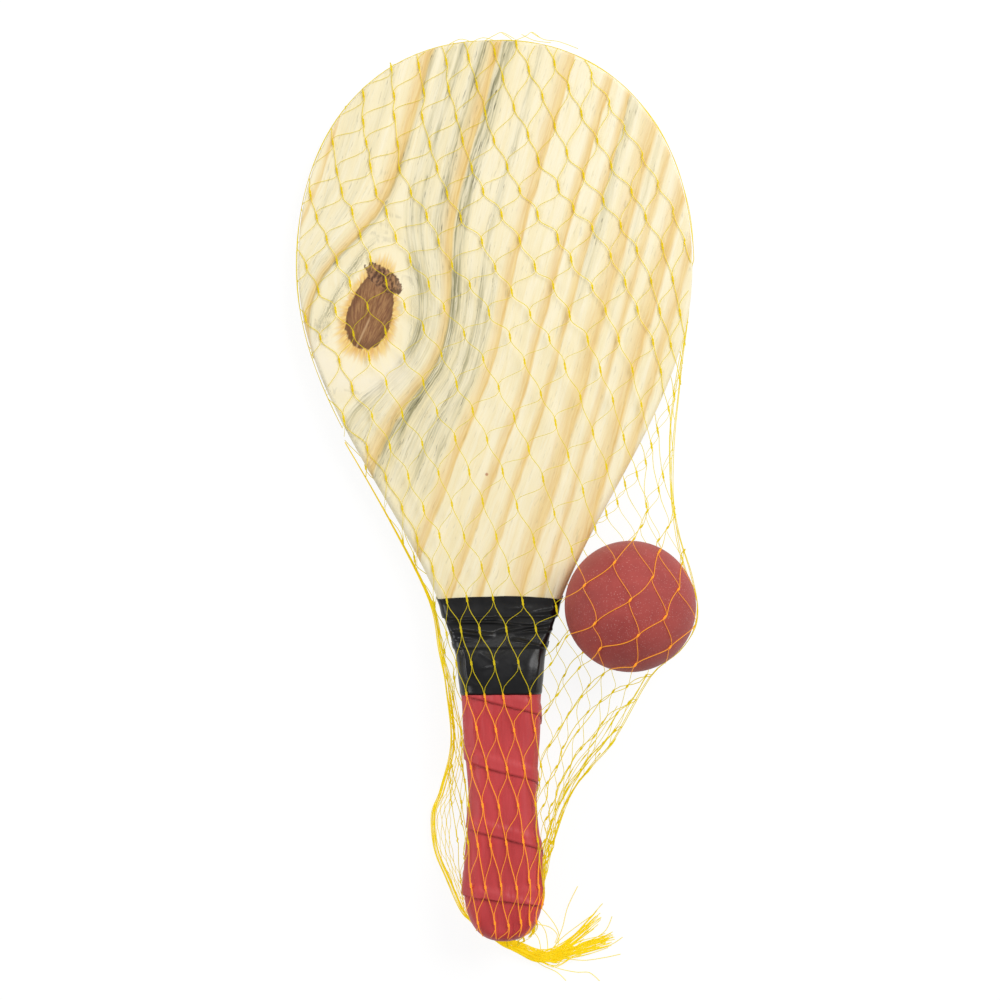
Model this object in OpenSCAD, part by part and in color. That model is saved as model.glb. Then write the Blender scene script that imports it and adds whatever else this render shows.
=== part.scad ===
/* [Board] */
// Length of the bat from the tip of the blade to the butt
bat_len = 380; // [350:1:420]
// Widest width of the blade
blade_w = 166.8; // [150:0.2:184]
// Distance from the tip down to the widest place
blade_top_len = 97; // [85:1:110]
// Thickness of the board
board_t = 10; // [8:0.5:12]
// Round-over along the edge of the blade
blade_round = 1.2; // [0.6:0.1:2]
// Round-over along the edge of the throat
throat_round = 3.3; // [2:0.1:3.6]

/* [Handle] */
// Length from the end of the shoulders to the butt
handle_len = 95; // [85:1:115]
// Width of the wood where the shoulders end
neck_w = 31.2; // [28:0.2:34]
// Width of the wood at the waist of the grip
waist_w = 27; // [24:0.2:30]
// Distance from the butt to the waist
waist_from_butt = 59; // [50:1:66]
// Width of the wood at the flare above the butt
flare_w = 32; // [29:0.2:35]
// Distance from the butt to the flare
flare_from_butt = 25; // [20:1:30]
// Thickness of the wood across both cheeks
handle_t = 24; // [21:0.5:27]
// Corner radius of the handle
handle_corner = 6.5; // [4:0.5:7]
// Round-over of the butt, seen from the side
butt_round = 4; // [2:0.5:6]
// Length of the cheeks, from their thin ends to the butt
cheek_len = 136; // [130:1:138]
// Thickness of the cheeks' thin ends
cheek_nose = 0.8; // [0.5:0.1:1.5]
// Length over which the cheeks rise to their full height
cheek_ramp = 22; // [16:1:26]

/* [Tapes] */
// Distance from the butt to the upper edge of the throat tape
tape_from_butt = 144.5; // [140:0.5:148]
// Width of one lap of the throat tape
tape_w = 21.5; // [19:0.5:25]
// Thickness of the throat tape
tape_t = 0.4; // [0.2:0.1:0.6]
// How far the laps of the throat tape overlap
tape_lap = 2.5; // [1.5:0.5:4]
// Thickness of the grip tape
wrap_t = 0.8; // [0.5:0.1:1.2]
// Rise where one turn of the grip tape lies on the next
wrap_ridge = 0.5; // [0.2:0.1:0.8]
// Distance between the turns of the grip tape
wrap_pitch = 28; // [22:1:34]
// How far the grip tape runs up under the throat tape
wrap_tuck = 4; // [2:0.5:6]
// Length of the patch folded over the butt
patch_len = 21; // [16:1:26]
// How far the last turn lies on the patch
patch_lap = 4; // [2:0.5:6]

/* [Ball] */
// Diameter of the ball
ball_d = 55; // [48:0.5:60]
// Wall of the hollow ball
ball_wall = 5; // [3:0.5:8]
// Distance from the butt to the place of the flank that the ball lies against
ball_from_butt = 151.5; // [147:0.5:156]

/* [Net] */
// Thickness of a strand
strand = 0.5; // [0.4:0.05:0.8]
// Number of meshes across the blade
mesh_columns = 13; // [10:1:15]
// Height of a mesh laid flat
mesh_h = 24; // [20:0.5:30]
// How far the net stands out round the blade
net_rim = 1.2; // [0.8:0.1:2]
// Spacing of the strands over the ball
pocket_gap = 12; // [9:0.5:14]
// Height of a mesh over the handle, where the net is pulled narrow
sleeve_mesh_h = 28; // [22:1:34]
// Number of meshes round the handle
sleeve_columns = 10; // [8:1:12]
// Thickest radius of the gathered bundle
bundle_r = 1.9; // [1.4:0.1:2.4]
// Radius of the knot that closes the net
knot_r = 2.6; // [2:0.1:3.2]
// How far the tail reaches past the butt
tail_reach = 20.8; // [16:0.2:30]
// Length of the longest loose ends in the tail
tail_len = 41; // [34:1:48]
// Number of loose ends in the tail
tail_count = 21; // [12:1:24]

/* [Hidden] */

wood_color = "#F2E2BF";
cheek_color = "#E3CB9C";
tape_color = "#2A2A2E";
grip_color = "#C03E49";
ball_color = "#9E4548";
net_color = "#F5D92B";

// Overrun of every cut past the surface it cuts
over = 1;
// Clearance of a tape from the wood, and of one tape from another
tape_fit = 0.05;
// Clearance of the net from what it lies on
net_fit = 0.3;
// Clearance of the flat net from the board
net_seat = 0.1;
// Length over which a tape climbs onto the one below
tape_climb = 0.8;
// Distance that a raised tape keeps from the end of the one below
tape_ease = 0.4;
// Radius of the arris where the board lies under the cheeks
arris = 0.3;
// Straight wall of a cheek above the board
cheek_wall = 0.3;
// Half the distance over which the outline's slope is taken
slope_reach = 0.3;
// Closest that two stations along the bat stand
station_gap = 0.1;

// Shape of the blade's top: 2 is an ellipse, and more is squarer
top_power = 2.2;
// Shape of the butt, in the same way
butt_power = 2.5;
// Points on each corner of a handle section
corner_points = 6;
section_points = 4 * corner_points;

// Length of the wood, inside the patch
core_len = bat_len - wrap_t - tape_fit;
cheek_from_tip = bat_len - cheek_len;
tape_from_tip = bat_len - tape_from_butt;
ball_from_tip = bat_len - ball_from_butt;
neck_from_tip = bat_len - handle_len;
waist_from_tip = bat_len - waist_from_butt;
flare_from_tip = bat_len - flare_from_butt;
throat_tape_end = tape_from_tip + 2 * tape_w - tape_lap;
wrap_from_tip = throat_tape_end - wrap_tuck;
patch_from_tip = bat_len - patch_len;
wrap_end = patch_from_tip + patch_lap;
grip_grow = tape_fit + wrap_t + wrap_ridge;

// The bat rests on its tip and on the tape's thickest place, which tilts it
rest_from_tip = wrap_from_tip - tape_ease;
rest_grow = grip_grow + 2 * tape_fit + tape_t;
tilt = atan((handle_t / 2 + rest_grow - board_t / 2) / rest_from_tip);
tip_y = (bat_len + tail_reach - net_rim) / 2;
tip_z = strand + net_seat + board_t / 2 * cos(tilt);

// Sizes of the wood at its stations, between which it runs straight, as all that lies on it does
width_table = [for (t = concat([0], stations())) [t, drawn_half_width(t)]];
handle_places = concat([cheek_from_tip], between(cheek_from_tip, bat_len));
height_table = [for (t = handle_places) [t, drawn_half_height(t)]];
corner_table = [for (t = handle_places) [t, drawn_corner(t)]];

// Place of the ball beside the flank
ball_r = ball_d / 2;
pocket_r = ball_r + net_fit + strand;
ball_z = strand + net_fit + ball_r;
edge_z = tip_z + ball_from_tip * sin(tilt) + board_t / 2;
pocket_reach = sqrt(pocket_r * pocket_r - (ball_z - edge_z) * (ball_z - edge_z));
ball_off = pocket_reach + 2 * net_fit + tape_t + tape_fit;
ball_slope_share = (drawn_half_width(ball_from_tip + slope_reach)
  - drawn_half_width(ball_from_tip - slope_reach)) / (2 * slope_reach);
ball_turn_angle = atan(ball_slope_share);
ball_x = drawn_half_width(ball_from_tip) + ball_off * cos(ball_turn_angle);
ball_y = tip_y - ball_from_tip + ball_off * sin(ball_turn_angle);

// Width of one mesh, with the net stretched over the blade
mesh_w = (blade_w + 2 * net_rim) / mesh_columns;
// Places along the net, as distances from the tip
fold_from_tip = blade_top_len + over;
tail_from_tip = bat_len + 2 * knot_r;
tail_x = flare_w / 4;

// How far the net's edge hangs in above and below the ball, and how far round the ball it goes
upper_sag_share = 0.07;
lower_sag_share = 0.04;
ball_hug_angle = 36;
// Slopes of the spans of net beside the ball
upper_rise_angle = 27;
lower_rise_angle = 14;
// The sleeve covers the handle's front between these shares of a turn
sleeve_shares = [0.2, 0.58];
// Thickness of the gathered bundle where it begins and where it is tied
bundle_start_share = 0.35;
bundle_end_share = 0.6;
// The loose ends leave the knot at these shares of its radius: outward, and from layer to layer
tail_root_shares = [0.8, 0.45];
// How uneven the loose ends are cut, and how much they curl
tail_cut_share = 0.2;
tail_curl_share = 0.11;
// Angles that the brush spreads between, from its side nearest the ball
tail_first_angle = 48;
tail_last_angle = -47;
// Turn from one loose end to the next, so that no two neighbours are alike
cut_turn_angle = 137.5;
curl_turn_angle = 200;

function ease(s) = (1 - cos(180 * min(max(s, 0), 1))) / 2;
function mix(a, b, s) = a + (b - a) * s;
function squircle(s, power) = pow(max(1 - pow(min(max(s, 0), 1), power), 0), 1 / power);

// Half width of the wood at a distance from the tip
function half_width(t) = lookup(t, width_table);
function drawn_half_width(t) =
  t < blade_top_len ? blade_w / 2 * squircle((blade_top_len - t) / blade_top_len, top_power)
  : t < neck_from_tip ?
    mix(blade_w, neck_w, ease((t - blade_top_len) / (neck_from_tip - blade_top_len))) / 2
  : t < waist_from_tip ?
    mix(neck_w, waist_w, ease((t - neck_from_tip) / (waist_from_tip - neck_from_tip))) / 2
  : t < flare_from_tip ?
    mix(waist_w, flare_w, ease((t - waist_from_tip) / (flare_from_tip - waist_from_tip))) / 2
  : flare_w / 2 * squircle((t - flare_from_tip) / (core_len - flare_from_tip), butt_power);

// Half thickness of the wood, with its cheeks, at a distance from the tip
function half_height(t) =
  t < cheek_from_tip - station_gap ? board_t / 2 : lookup(t, height_table);
function drawn_half_height(t) =
  mix(board_t / 2 + cheek_nose, handle_t / 2, ease((t - cheek_from_tip) / cheek_ramp))
  - butt_round * (1 - squircle((t - core_len + butt_round) / butt_round, 2));

// Round-over of the board's edge, which fades out under the throat tape
function board_round(t) =
  t < cheek_from_tip ?
    mix(blade_round, throat_round,
      ease((t - blade_top_len) / (tape_from_tip - blade_top_len)))
    - (throat_round - arris) * ease((t - tape_from_tip) / (cheek_from_tip - tape_from_tip))
  : arris;

// Corner radius of the wood's section
function corner(t) =
  t < cheek_from_tip - station_gap ? board_round(t) : lookup(t, corner_table);
function drawn_corner(t) =
  min(handle_corner, drawn_half_height(t) - board_t / 2 - cheek_wall, drawn_half_width(t));

// How much of its thickness a skin is pushed past the butt
function butt_push(t) = pow(max(t - flare_from_tip, 0) / (core_len - flare_from_tip), 3);

// Point i of the section round the wood, grown outward
function section_point(t, grow, i) =
  let (
    q = floor(i / corner_points),
    a = -90 - 90 * q - 90 * (i % corner_points) / (corner_points - 1),
    r = corner(t),
    x = half_width(t) - r,
    z = half_height(t) - r
  )
  [
    (q < 2 ? -x : x) + (r + grow) * cos(a),
    -t - grow * butt_push(t),
    (q == 1 || q == 2 ? z : -z) + (r + grow) * sin(a)
  ];
function section(t, grow) = [for (i = [0 : section_points - 1]) section_point(t, grow, i)];

// Distances from the tip at which the wood's outline has its points
function tip_stations(n) = [for (i = [1 / 4, each [1 : n]]) blade_top_len * (1 - cos(90 * i / n))];
function run_stations(from, to, n) = [for (i = [1 : n]) mix(from, to, i / n)];
function butt_stations(n) = [
  for (i = [each [1 : n - 1], n - 1 / 4]) mix(flare_from_tip, core_len, sin(90 * i / n))
];
function stations() = concat(
  tip_stations(14),
  run_stations(blade_top_len, tape_from_tip, 14),
  run_stations(tape_from_tip, cheek_from_tip, 2),
  run_stations(cheek_from_tip, cheek_from_tip + cheek_ramp, 6),
  run_stations(cheek_from_tip + cheek_ramp, flare_from_tip, 8),
  butt_stations(8)
);
function between(from, to) = [
  for (t = stations()) if (t > from + station_gap && t < to - station_gap) t
];

// Pairs of a place and the clearance below a tape there, over one stretch
function stretch(from, to, clearance) = [for (t = concat([from], between(from, to), [to])) [t, clearance]];

// Outline of the blade and throat down to a distance from the tip, grown outward
function flank(t, grow) =
  let (
    m = (half_width(t + slope_reach) - half_width(max(t - slope_reach, 0)))
      / (t + slope_reach - max(t - slope_reach, 0)),
    k = sqrt(1 + m * m)
  )
  [half_width(t) + grow / k, -t + grow * m / k];
function mirrored(points) = [for (i = [len(points) - 1 : -1 : 0]) [-points[i][0], points[i][1]]];

// Joins rings of equal counts into one closed skin, with flat ends
module skin(rings) {
  n = len(rings[0]);
  last = len(rings) - 1;
  polyhedron(
    points = [for (r = rings) for (p = r) p],
    faces = concat(
      [[for (i = [n - 1 : -1 : 0]) i]],
      [
        for (k = [0 : last - 1]) for (i = [0 : n - 1])
          let (a = k * n, b = a + n, j = (i + 1) % n)
            each [[a + i, b + j, b + i], [a + i, a + j, b + j]]
      ],
      [[for (i = [0 : n - 1]) last * n + i]]
    )
  );
}

// Joins rings into one closed tube whose last ring meets its first
module ring_skin(rings) {
  n = len(rings[0]);
  count = len(rings);
  polyhedron(
    points = [for (r = rings) for (p = r) p],
    faces = [
      for (k = [0 : count - 1]) for (i = [0 : n - 1])
        let (a = k * n, b = ((k + 1) % count) * n, j = (i + 1) % n)
          each [[a + i, b + j, b + i], [a + i, a + j, b + j]]
    ]
  );
}

// Places the bat on the net, with its tip and its grip resting on it
module bat_pose() {
  translate([0, tip_y, tip_z])
    rotate([-tilt, 0, 0])
      children();
}

// The board is a stack of outlines, drawn in towards its two faces
module blade_board() {
  side = stations();
  turn_steps = 3;
  // Each level is a share of the round-over: inward, and off the face
  levels = concat(
    [for (i = [0 : turn_steps]) [1 - sin(90 * i / turn_steps), -1, 1 - cos(90 * i / turn_steps)]],
    [for (i = [turn_steps : -1 : 0]) [1 - sin(90 * i / turn_steps), 1, 1 - cos(90 * i / turn_steps)]]
  );
  color(wood_color)
    bat_pose()
      skin([
        for (level = levels)
          let (
            right = [
              for (t = side)
                let (p = flank(t, -level[0] * board_round(t)))
                  [p[0], p[1], level[1] * (board_t / 2 - level[2] * board_round(t))]
            ],
            left = [for (i = [len(right) - 1 : -1 : 0]) [-right[i][0], right[i][1], right[i][2]]]
          )
          concat(right, left)
      ]);
}

// Each cheek is a loft of half sections that stands on the board's face
module cheek() {
  from = corner_points;
  to = 3 * corner_points - 1;
  skin([
    for (t = handle_places)
      concat(
        [[-half_width(t), -t, board_t / 2]],
        [for (i = [from : to]) section_point(t, 0, i)],
        [[half_width(t), -t, board_t / 2]]
      )
  ]);
}

module front_cheek() {
  color(cheek_color) bat_pose() cheek();
}

module back_cheek() {
  color(cheek_color) bat_pose() mirror([0, 0, 1]) cheek();
}

// A lap of tape is a closed skin through pairs of a place and the clearance below it there
module lap(places, thickness) {
  ring_skin(concat(
    [for (p = places) section(p[0], p[1] + thickness)],
    [for (i = [len(places) - 1 : -1 : 0]) section(places[i][0], places[i][1])]
  ));
}

module throat_tape_upper() {
  color(tape_color)
    bat_pose()
      lap(stretch(tape_from_tip, tape_from_tip + tape_w, tape_fit), tape_t);
}

module throat_tape_lower() {
  from = tape_from_tip + tape_w - tape_lap;
  on_tape = from + tape_lap + tape_ease;
  on_wrap = wrap_from_tip - tape_ease;
  color(tape_color)
    bat_pose()
      lap(
        concat(
          stretch(from, on_tape, tape_fit + tape_t + tape_fit),
          stretch(on_tape + tape_climb, on_wrap - tape_climb, tape_fit),
          stretch(on_wrap, throat_tape_end, grip_grow + 2 * tape_fit)
        ),
        tape_t
      );
}

// The wood and the patch, as the grip tape meets them
module grip_bed() {
  on_patch = patch_from_tip - tape_ease;
  skin([
    for (p = concat(
      stretch(wrap_from_tip - over, on_patch - tape_climb, tape_fit),
      stretch(on_patch, wrap_end + over, 2 * tape_fit + wrap_t)
    ))
      section(p[0], p[1])
  ]);
}

// Share of a turn at point i of a section, measured round the handle
function turn_share(i) =
  let (p = section_point(waist_from_tip, 0, i), a = -90 - atan2(p[2], p[0]))
  (a < 0 ? a + 360 : a) / 360;

// The grip tape's outer face is one spiral of lanes, and each turn's lower edge lies on the next turn
module grip_spiral() {
  // Places across one turn, and how much of the ridge each stands on, both as shares
  lane_shares = [[0, 0], [0.19, 0], [0.38, 0], [0.57, 0], [0.76, 0], [0.84, 1], [0.985, 1]];
  lanes = len(lane_shares);
  n = section_points;
  turns = ceil((wrap_end - wrap_from_tip) / wrap_pitch) + 3;
  count = turns * n;
  from = wrap_from_tip - 2 * wrap_pitch;
  short = count - n + 1;
  apex = [0, -from + wrap_pitch, 0];
  foot = [0, -from - (turns + 1) * wrap_pitch, 0];
  function at(k, lane) =
    let (
      t = from + wrap_pitch * (floor(k / n) + turn_share(k % n) + lane_shares[lane][0]),
      bed = mix(tape_fit, 2 * tape_fit + wrap_t,
        min(max((t - patch_from_tip + tape_ease + tape_climb) / tape_climb, 0), 1)),
      place = min(t, wrap_end + over),
      p = section_point(place, bed + wrap_t + wrap_ridge * lane_shares[lane][1], k % n)
    )
    [p[0], p[1] + place - t, p[2]];
  function index(k, lane) = lane == 0 ? k : lane == lanes ? k + n : count + 1 + (lane - 1) * short + k;
  points = concat(
    [for (k = [0 : count]) at(k, 0)],
    [for (lane = [1 : lanes - 1]) for (k = [0 : short - 1]) at(k, lane)],
    [apex, foot]
  );
  top = len(points) - 2;
  bottom = len(points) - 1;
  edge = count - n;
  polyhedron(
    points = points,
    faces = concat(
      [
        for (k = [0 : edge - 1]) for (lane = [0 : lanes - 1])
          each [
            [index(k, lane), index(k + 1, lane + 1), index(k, lane + 1)],
            [index(k, lane), index(k + 1, lane), index(k + 1, lane + 1)]
          ]
      ],
      [for (k = [0 : n - 1]) [top, index(k + 1, 0), index(k, 0)]],
      [for (lane = [0 : lanes - 1]) [top, index(0, lane), index(0, lane + 1)]],
      [for (k = [edge : count - 1]) [bottom, index(k, 0), index(k + 1, 0)]],
      [for (lane = [0 : lanes - 1]) [bottom, index(edge, lane + 1), index(edge, lane)]]
    )
  );
}

module grip_wrap() {
  reach = handle_t + flare_w;
  color(grip_color)
    bat_pose()
      difference() {
        intersection() {
          grip_spiral();
          translate([-reach, -wrap_end, -reach])
            cube([2 * reach, wrap_end - wrap_from_tip, 2 * reach]);
        }
        grip_bed();
      }
}

// The patch is a cup that is folded over the butt, under the grip tape's last turn
module butt_patch() {
  places = concat([patch_from_tip], between(patch_from_tip, bat_len));
  color(grip_color)
    bat_pose()
      difference() {
        skin([for (t = places) section(t, tape_fit + wrap_t)]);
        skin(concat(
          [section(patch_from_tip - over, tape_fit)],
          [for (t = places) section(t, tape_fit)]
        ));
      }
}

module rubber_ball() {
  color(ball_color)
    translate([ball_x, ball_y, ball_z])
      difference() {
        sphere(r = ball_r, $fn = 96);
        sphere(r = ball_r - ball_wall, $fn = 64);
      }
}

// The points of an outline, moved inward by a distance
function inset(points, d) =
  let (n = len(points))
  [
    for (i = [0 : n - 1])
      let (
        u = unit(points[i] - points[(i + n - 1) % n]),
        v = unit(points[(i + 1) % n] - points[i]),
        m = unit([u[1] + v[1], -u[0] - v[0]])
      )
      points[i] + d / max(m * [v[1], -v[0]], 1 / 2) * m
  ];
function unit(v) = v / norm(v);

// Diamond gaps between crossing strands, over the box of an outline
module mesh_gaps(outline) {
  xs = [for (p = outline) p[0]];
  ys = [for (p = outline) p[1]];
  half = [mesh_w / 2, mesh_h / 2];
  slant = norm(half);
  gap = [half[0] - strand / 2 * slant / half[1], half[1] - strand / 2 * slant / half[0]];
  for (j = [floor(min(ys) / half[1]) : ceil(max(ys) / half[1])])
    for (i = [floor(min(xs) / mesh_w) - 1 : ceil(max(xs) / mesh_w)])
      translate([(i + (j % 2 == 0 ? 0 : 1 / 2)) * mesh_w, j * half[1]])
        polygon([[gap[0], 0], [0, gap[1]], [-gap[0], 0], [0, -gap[1]]]);
}

// A flat net with an edge strand, from an outline that runs clockwise
module flat_net(outline) {
  difference() {
    polygon(outline);
    intersection() {
      polygon(inset(outline, strand));
      mesh_gaps(outline);
    }
  }
}

// The net over the blade's front face ends where the throat tape begins
module net_front() {
  side = [
    for (t = concat(tip_stations(9), run_stations(blade_top_len, tape_from_tip - over, 8)))
      flank(t, -blade_round)
  ];
  color(net_color)
    bat_pose()
      translate([0, 0, board_t / 2 + net_seat])
        linear_extrude(strand)
          flat_net(concat(side, mirrored(side)));
}

// A point of the plan at a distance from the tip
function at(x, t) = [x, tip_y - t];

// A line that hangs in by a share of its length, without its ends
function hang(a, b, sag_share, n) =
  let (d = b - a, side = [d[1], -d[0]])
  [
    for (i = [1 : n - 1])
      let (s = i / n)
        a + s * d + 4 * s * (1 - s) * sag_share * side
  ];

// The right-hand edge of the net, from the blade round the ball to the butt
function fold_edge() =
  let (
    top = at(half_width(fold_from_tip) + net_rim, fold_from_tip),
    ball = [ball_x, ball_y],
    round = [for (i = [0 : 3]) ball + pocket_r * [cos(ball_hug_angle * i / 3), -sin(ball_hug_angle * i / 3)]],
    foot = at(flare_w / 2 + bundle_r, flare_from_tip)
  )
  concat(
    [top],
    hang(top, round[0], upper_sag_share, 8),
    round,
    hang(round[3], foot, lower_sag_share, 8),
    [foot]
  );

// The gathered bundle keeps clear of the bat by these shares of the flare's width
bundle_shares = [
  [0.445, 0.10], [0.53, 0.12], [0.624, 0.13], [0.724, 0.19],
  [0.784, 0.18], [0.863, 0.46], [0.924, 0.28], [0.968, 0.15]
];
function bundle_route() =
  concat(
    [
      for (p = bundle_shares)
        let (t = p[0] * bat_len)
          at(-half_width(t) - p[1] * flare_w, t)
    ],
    [
      at(-flare_w / 4, bat_len + knot_r / 2),
      at(tail_x - 2 * knot_r, tail_from_tip - knot_r / 2),
      at(tail_x - knot_r - net_fit, tail_from_tip)
    ]
  );

// A smooth curve through points, n steps from each to the next
function smooth(points, n) =
  let (last = len(points) - 1)
  concat(
    [
      for (i = [0 : last - 1]) for (k = [0 : n - 1])
        let (
          s = k / n,
          a = points[max(i - 1, 0)], b = points[i],
          c = points[i + 1], d = points[min(i + 2, last)]
        )
        (2 * b + s * (c - a) + s * s * (2 * a - 5 * b + 4 * c - d)
          + s * s * s * (3 * b - a - 3 * c + d)) / 2
    ],
    [points[last]]
  );

// Sweeps a round strand along a path, with one radius a point
module sweep(path, radii, sides) {
  last = len(path) - 1;
  skin([
    for (i = [0 : last])
      let (
        d = unit(path[min(i + 1, last)] - path[max(i - 1, 0)]),
        side = unit(cross(d, [0, 0, 1])),
        up = cross(side, d)
      )
      [
        for (k = [0 : sides - 1])
          let (a = 360 * k / sides)
            path[i] + radii[i] * (cos(a) * side + sin(a) * up)
      ]
  ]);
}

// The back of the net lies flat under the bat and the ball
module net_back() {
  right = [for (t = tip_stations(9)) flank(t, net_rim)];
  left = [
    for (t = run_stations(blade_top_len, bundle_shares[0][0] * bat_len, 6))
      [-half_width(t) - net_rim, -t]
  ];
  place = [0, tip_y];
  route = smooth(bundle_route(), 2);
  outline = concat(
    [for (p = right) p + place],
    fold_edge(),
    [at(tail_x + knot_r, tail_from_tip)],
    [for (i = [len(route) - 2 : -1 : 1]) route[i]],
    [for (i = [len(left) - 1 : -1 : 0]) left[i] + place],
    [for (p = mirrored(right)) p + place]
  );
  color(net_color)
    linear_extrude(strand)
      flat_net(outline);
}

// A point on the handle's skin, at a share of a turn from the middle of its back
turn_table = [for (i = [0 : section_points - 1]) [turn_share(i), i]];
function skin_point(t, share, grow) =
  let (i = lookup(share, turn_table), k = floor(i))
  mix(section_point(t, grow, k), section_point(t, grow, min(k + 1, section_points - 1)), i - k);

// Over the handle the net is two families of strands that lean across its front
module net_sleeve() {
  low = sleeve_shares[0];
  high = sleeve_shares[1];
  from = tape_from_tip + strand;
  to = flare_from_tip + butt_round;
  grow = rest_grow + net_fit + strand;
  steps = 15;
  rate = 1 / (sleeve_columns * sleeve_mesh_h);
  reach = (to - from) * rate;
  color(net_color)
    bat_pose() {
      for (lean = [-1, 1]) {
        for (k = [ceil((low - reach) * sleeve_columns) : floor((high + reach) * sleeve_columns)]) {
          start = k / sleeve_columns;
          ends = lean > 0 ? [low - start, high - start] : [start - high, start - low];
          a = from + max(ends[0] / rate, 0);
          b = from + min(ends[1] / rate, to - from);
          count = ceil(steps * (b - a) / (to - from));
          if (count > 1)
            sweep(
              [
                for (i = [0 : count])
                  let (t = mix(a, b, i / count))
                    skin_point(t, start + lean * (t - from) * rate, grow)
              ],
              [for (i = [0 : count]) strand / 2],
              3
            );
        }
      }
      for (share = [low, high])
        sweep(
          [for (i = [0 : steps]) skin_point(mix(from, to, i / steps), share, grow)],
          [for (i = [0 : steps]) strand / 2],
          3
        );
    }
}

// At the left the spare width of the net is gathered into one bundle
module net_side_bundle() {
  steps = 3;
  plan = smooth(bundle_route(), steps);
  last = len(plan) - 1;
  low = strand + net_fit;
  settled = 3 * steps;
  tied = 3 * steps;
  radii = [
    for (i = [0 : last])
      bundle_r * mix(bundle_start_share, 1, ease(i / settled))
        * mix(1, bundle_end_share, ease((i - last + tied) / tied))
  ];
  path = [
    for (i = [0 : last])
      let (
        t = tip_y - plan[i][1],
        edge = tip_z + t * sin(tilt)
      )
      [plan[i][0], plan[i][1], mix(edge, low + radii[i], ease(i / settled))]
  ];
  color(net_color)
    sweep(path, radii, 8);
}

// Over the ball the net is two families of hoops, cut off above the net below
module net_pocket() {
  sides = 30;
  count = floor((pocket_r - strand) / pocket_gap);
  lean = atan(mesh_w / mesh_h);
  middle = pocket_r - strand / 2;
  color(net_color)
    translate([ball_x, ball_y, ball_z])
      intersection() {
        union()
          for (side = [-1, 1])
            for (k = [-count : count]) {
              off = k * pocket_gap;
              r = sqrt(middle * middle - off * off) / cos(180 / sides);
              rotate([0, 0, side * lean])
                ring_skin([
                  for (i = [0 : sides - 1])
                    let (a = 360 * i / sides, out = [cos(a), sin(a)])
                    [
                      for (corner_at = [[0, 1], [1, -1], [-1, -1]])
                        let (q = r + corner_at[1] * strand / 2)
                          [off + corner_at[0] * strand / 2, q * out[0], q * out[1]]
                    ]
                ]);
            }
        translate([-ball_d, -ball_d, strand + net_fit - ball_z])
          cube(2 * ball_d);
      }
}

// A sheet of net that rises from the line a to b, over an outline given in plan
module hung_net(a, b, rise, plan) {
  d = unit([b[0] - a[0], b[1] - a[1]]);
  local = [
    for (p = plan)
      let (q = p - [a[0], a[1]])
        [q * d, (d[0] * q[1] - d[1] * q[0]) / cos(rise)]
  ];
  pitch = atan2(b[2] - a[2], norm([b[0] - a[0], b[1] - a[1]]));
  translate(a)
    rotate([rise, -pitch, atan2(d[1], d[0])])
      linear_extrude(strand)
        flat_net(local);
}

// From the blade's edge the front of the net rises to the ball
module net_upper_span() {
  low = board_t / 2 + net_seat + strand + net_fit;
  foot_from_tip = ball_from_tip - blade_round * 4;
  function edge(t) = concat(at(half_width(t) + net_fit, t), [tip_z + t * sin(tilt) + low]);
  a = edge(fold_from_tip + blade_round * 4);
  b = edge(foot_from_tip);
  fold = fold_edge();
  color(net_color)
    difference() {
      hung_net(a, b, upper_rise_angle, concat(
        [[b[0], b[1]], [a[0], a[1]]],
        [for (i = [2 : 7]) fold[i] - [strand, 0]],
        [[ball_x, ball_y] + pocket_r / 2 * [1, 1]]
      ));
      translate([ball_x, ball_y, ball_z])
        sphere(r = pocket_r + net_fit, $fn = 64);
    }
}

// Below the ball the front of the net runs in to the butt
module net_lower_span() {
  from = cheek_from_tip + cheek_nose;
  to = flare_from_tip + butt_round;
  function edge(t) = concat(
    at(half_width(t) + rest_grow + 2 * net_fit + strand, t),
    [tip_z + t * sin(tilt)]
  );
  a = edge(to);
  b = edge(from);
  fold = fold_edge();
  count = len(fold);
  color(net_color)
    difference() {
      hung_net(b, a, lower_rise_angle, concat(
        [[a[0], a[1]], [b[0], b[1]]],
        [[ball_x, ball_y] - pocket_r / 2 * [1 / 2, 1]],
        [for (i = [count - 9 : count - 2]) fold[i]]
      ));
      translate([ball_x, ball_y, ball_z])
        sphere(r = pocket_r + net_fit, $fn = 64);
    }
}

// Past the butt the net is tied in a knot, and its cut ends spread as a brush
module net_tail() {
  middle = at(tail_x, tail_from_tip);
  knot_z = strand + net_fit + knot_r;
  drop = tail_reach - 2 * knot_r - strand / 4;
  steps = 4;
  layers = 3;
  root = tail_root_shares[0] * knot_r;
  color(net_color) {
    translate(concat(middle, [knot_z]))
      sphere(r = knot_r, $fn = 12);
    for (i = [0 : tail_count - 1]) {
      a = mix(tail_first_angle, tail_last_angle, i / (tail_count - 1));
      layer = i % layers;
      cut = tail_len * (1 - tail_cut_share + tail_cut_share * sin(cut_turn_angle * i));
      length = min(cut, a < 0 ? drop / sin(-a) : tail_len);
      bend = length * tail_curl_share * cos(curl_turn_angle * i / tail_count);
      path = [
        for (k = [0 : steps])
          let (q = k / steps, out = mix(root, length, q), sway = 4 * q * (1 - q) * bend)
            [
              middle[0] + out * cos(a) - sway * sin(a),
              middle[1] + out * sin(a) + sway * cos(a),
              mix(
                knot_z + tail_root_shares[1] * knot_r * (layer - 1),
                strand * (1 + 2 * layer),
                q
              )
            ]
      ];
      sweep(path, [for (k = [0 : steps]) strand / 2], 3);
    }
  }
}

blade_board();
front_cheek();
back_cheek();
throat_tape_upper();
throat_tape_lower();
grip_wrap();
butt_patch();
rubber_ball();
net_front();
net_back();
net_sleeve();
net_side_bundle();
net_pocket();
net_upper_span();
net_lower_span();
net_tail();
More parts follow.
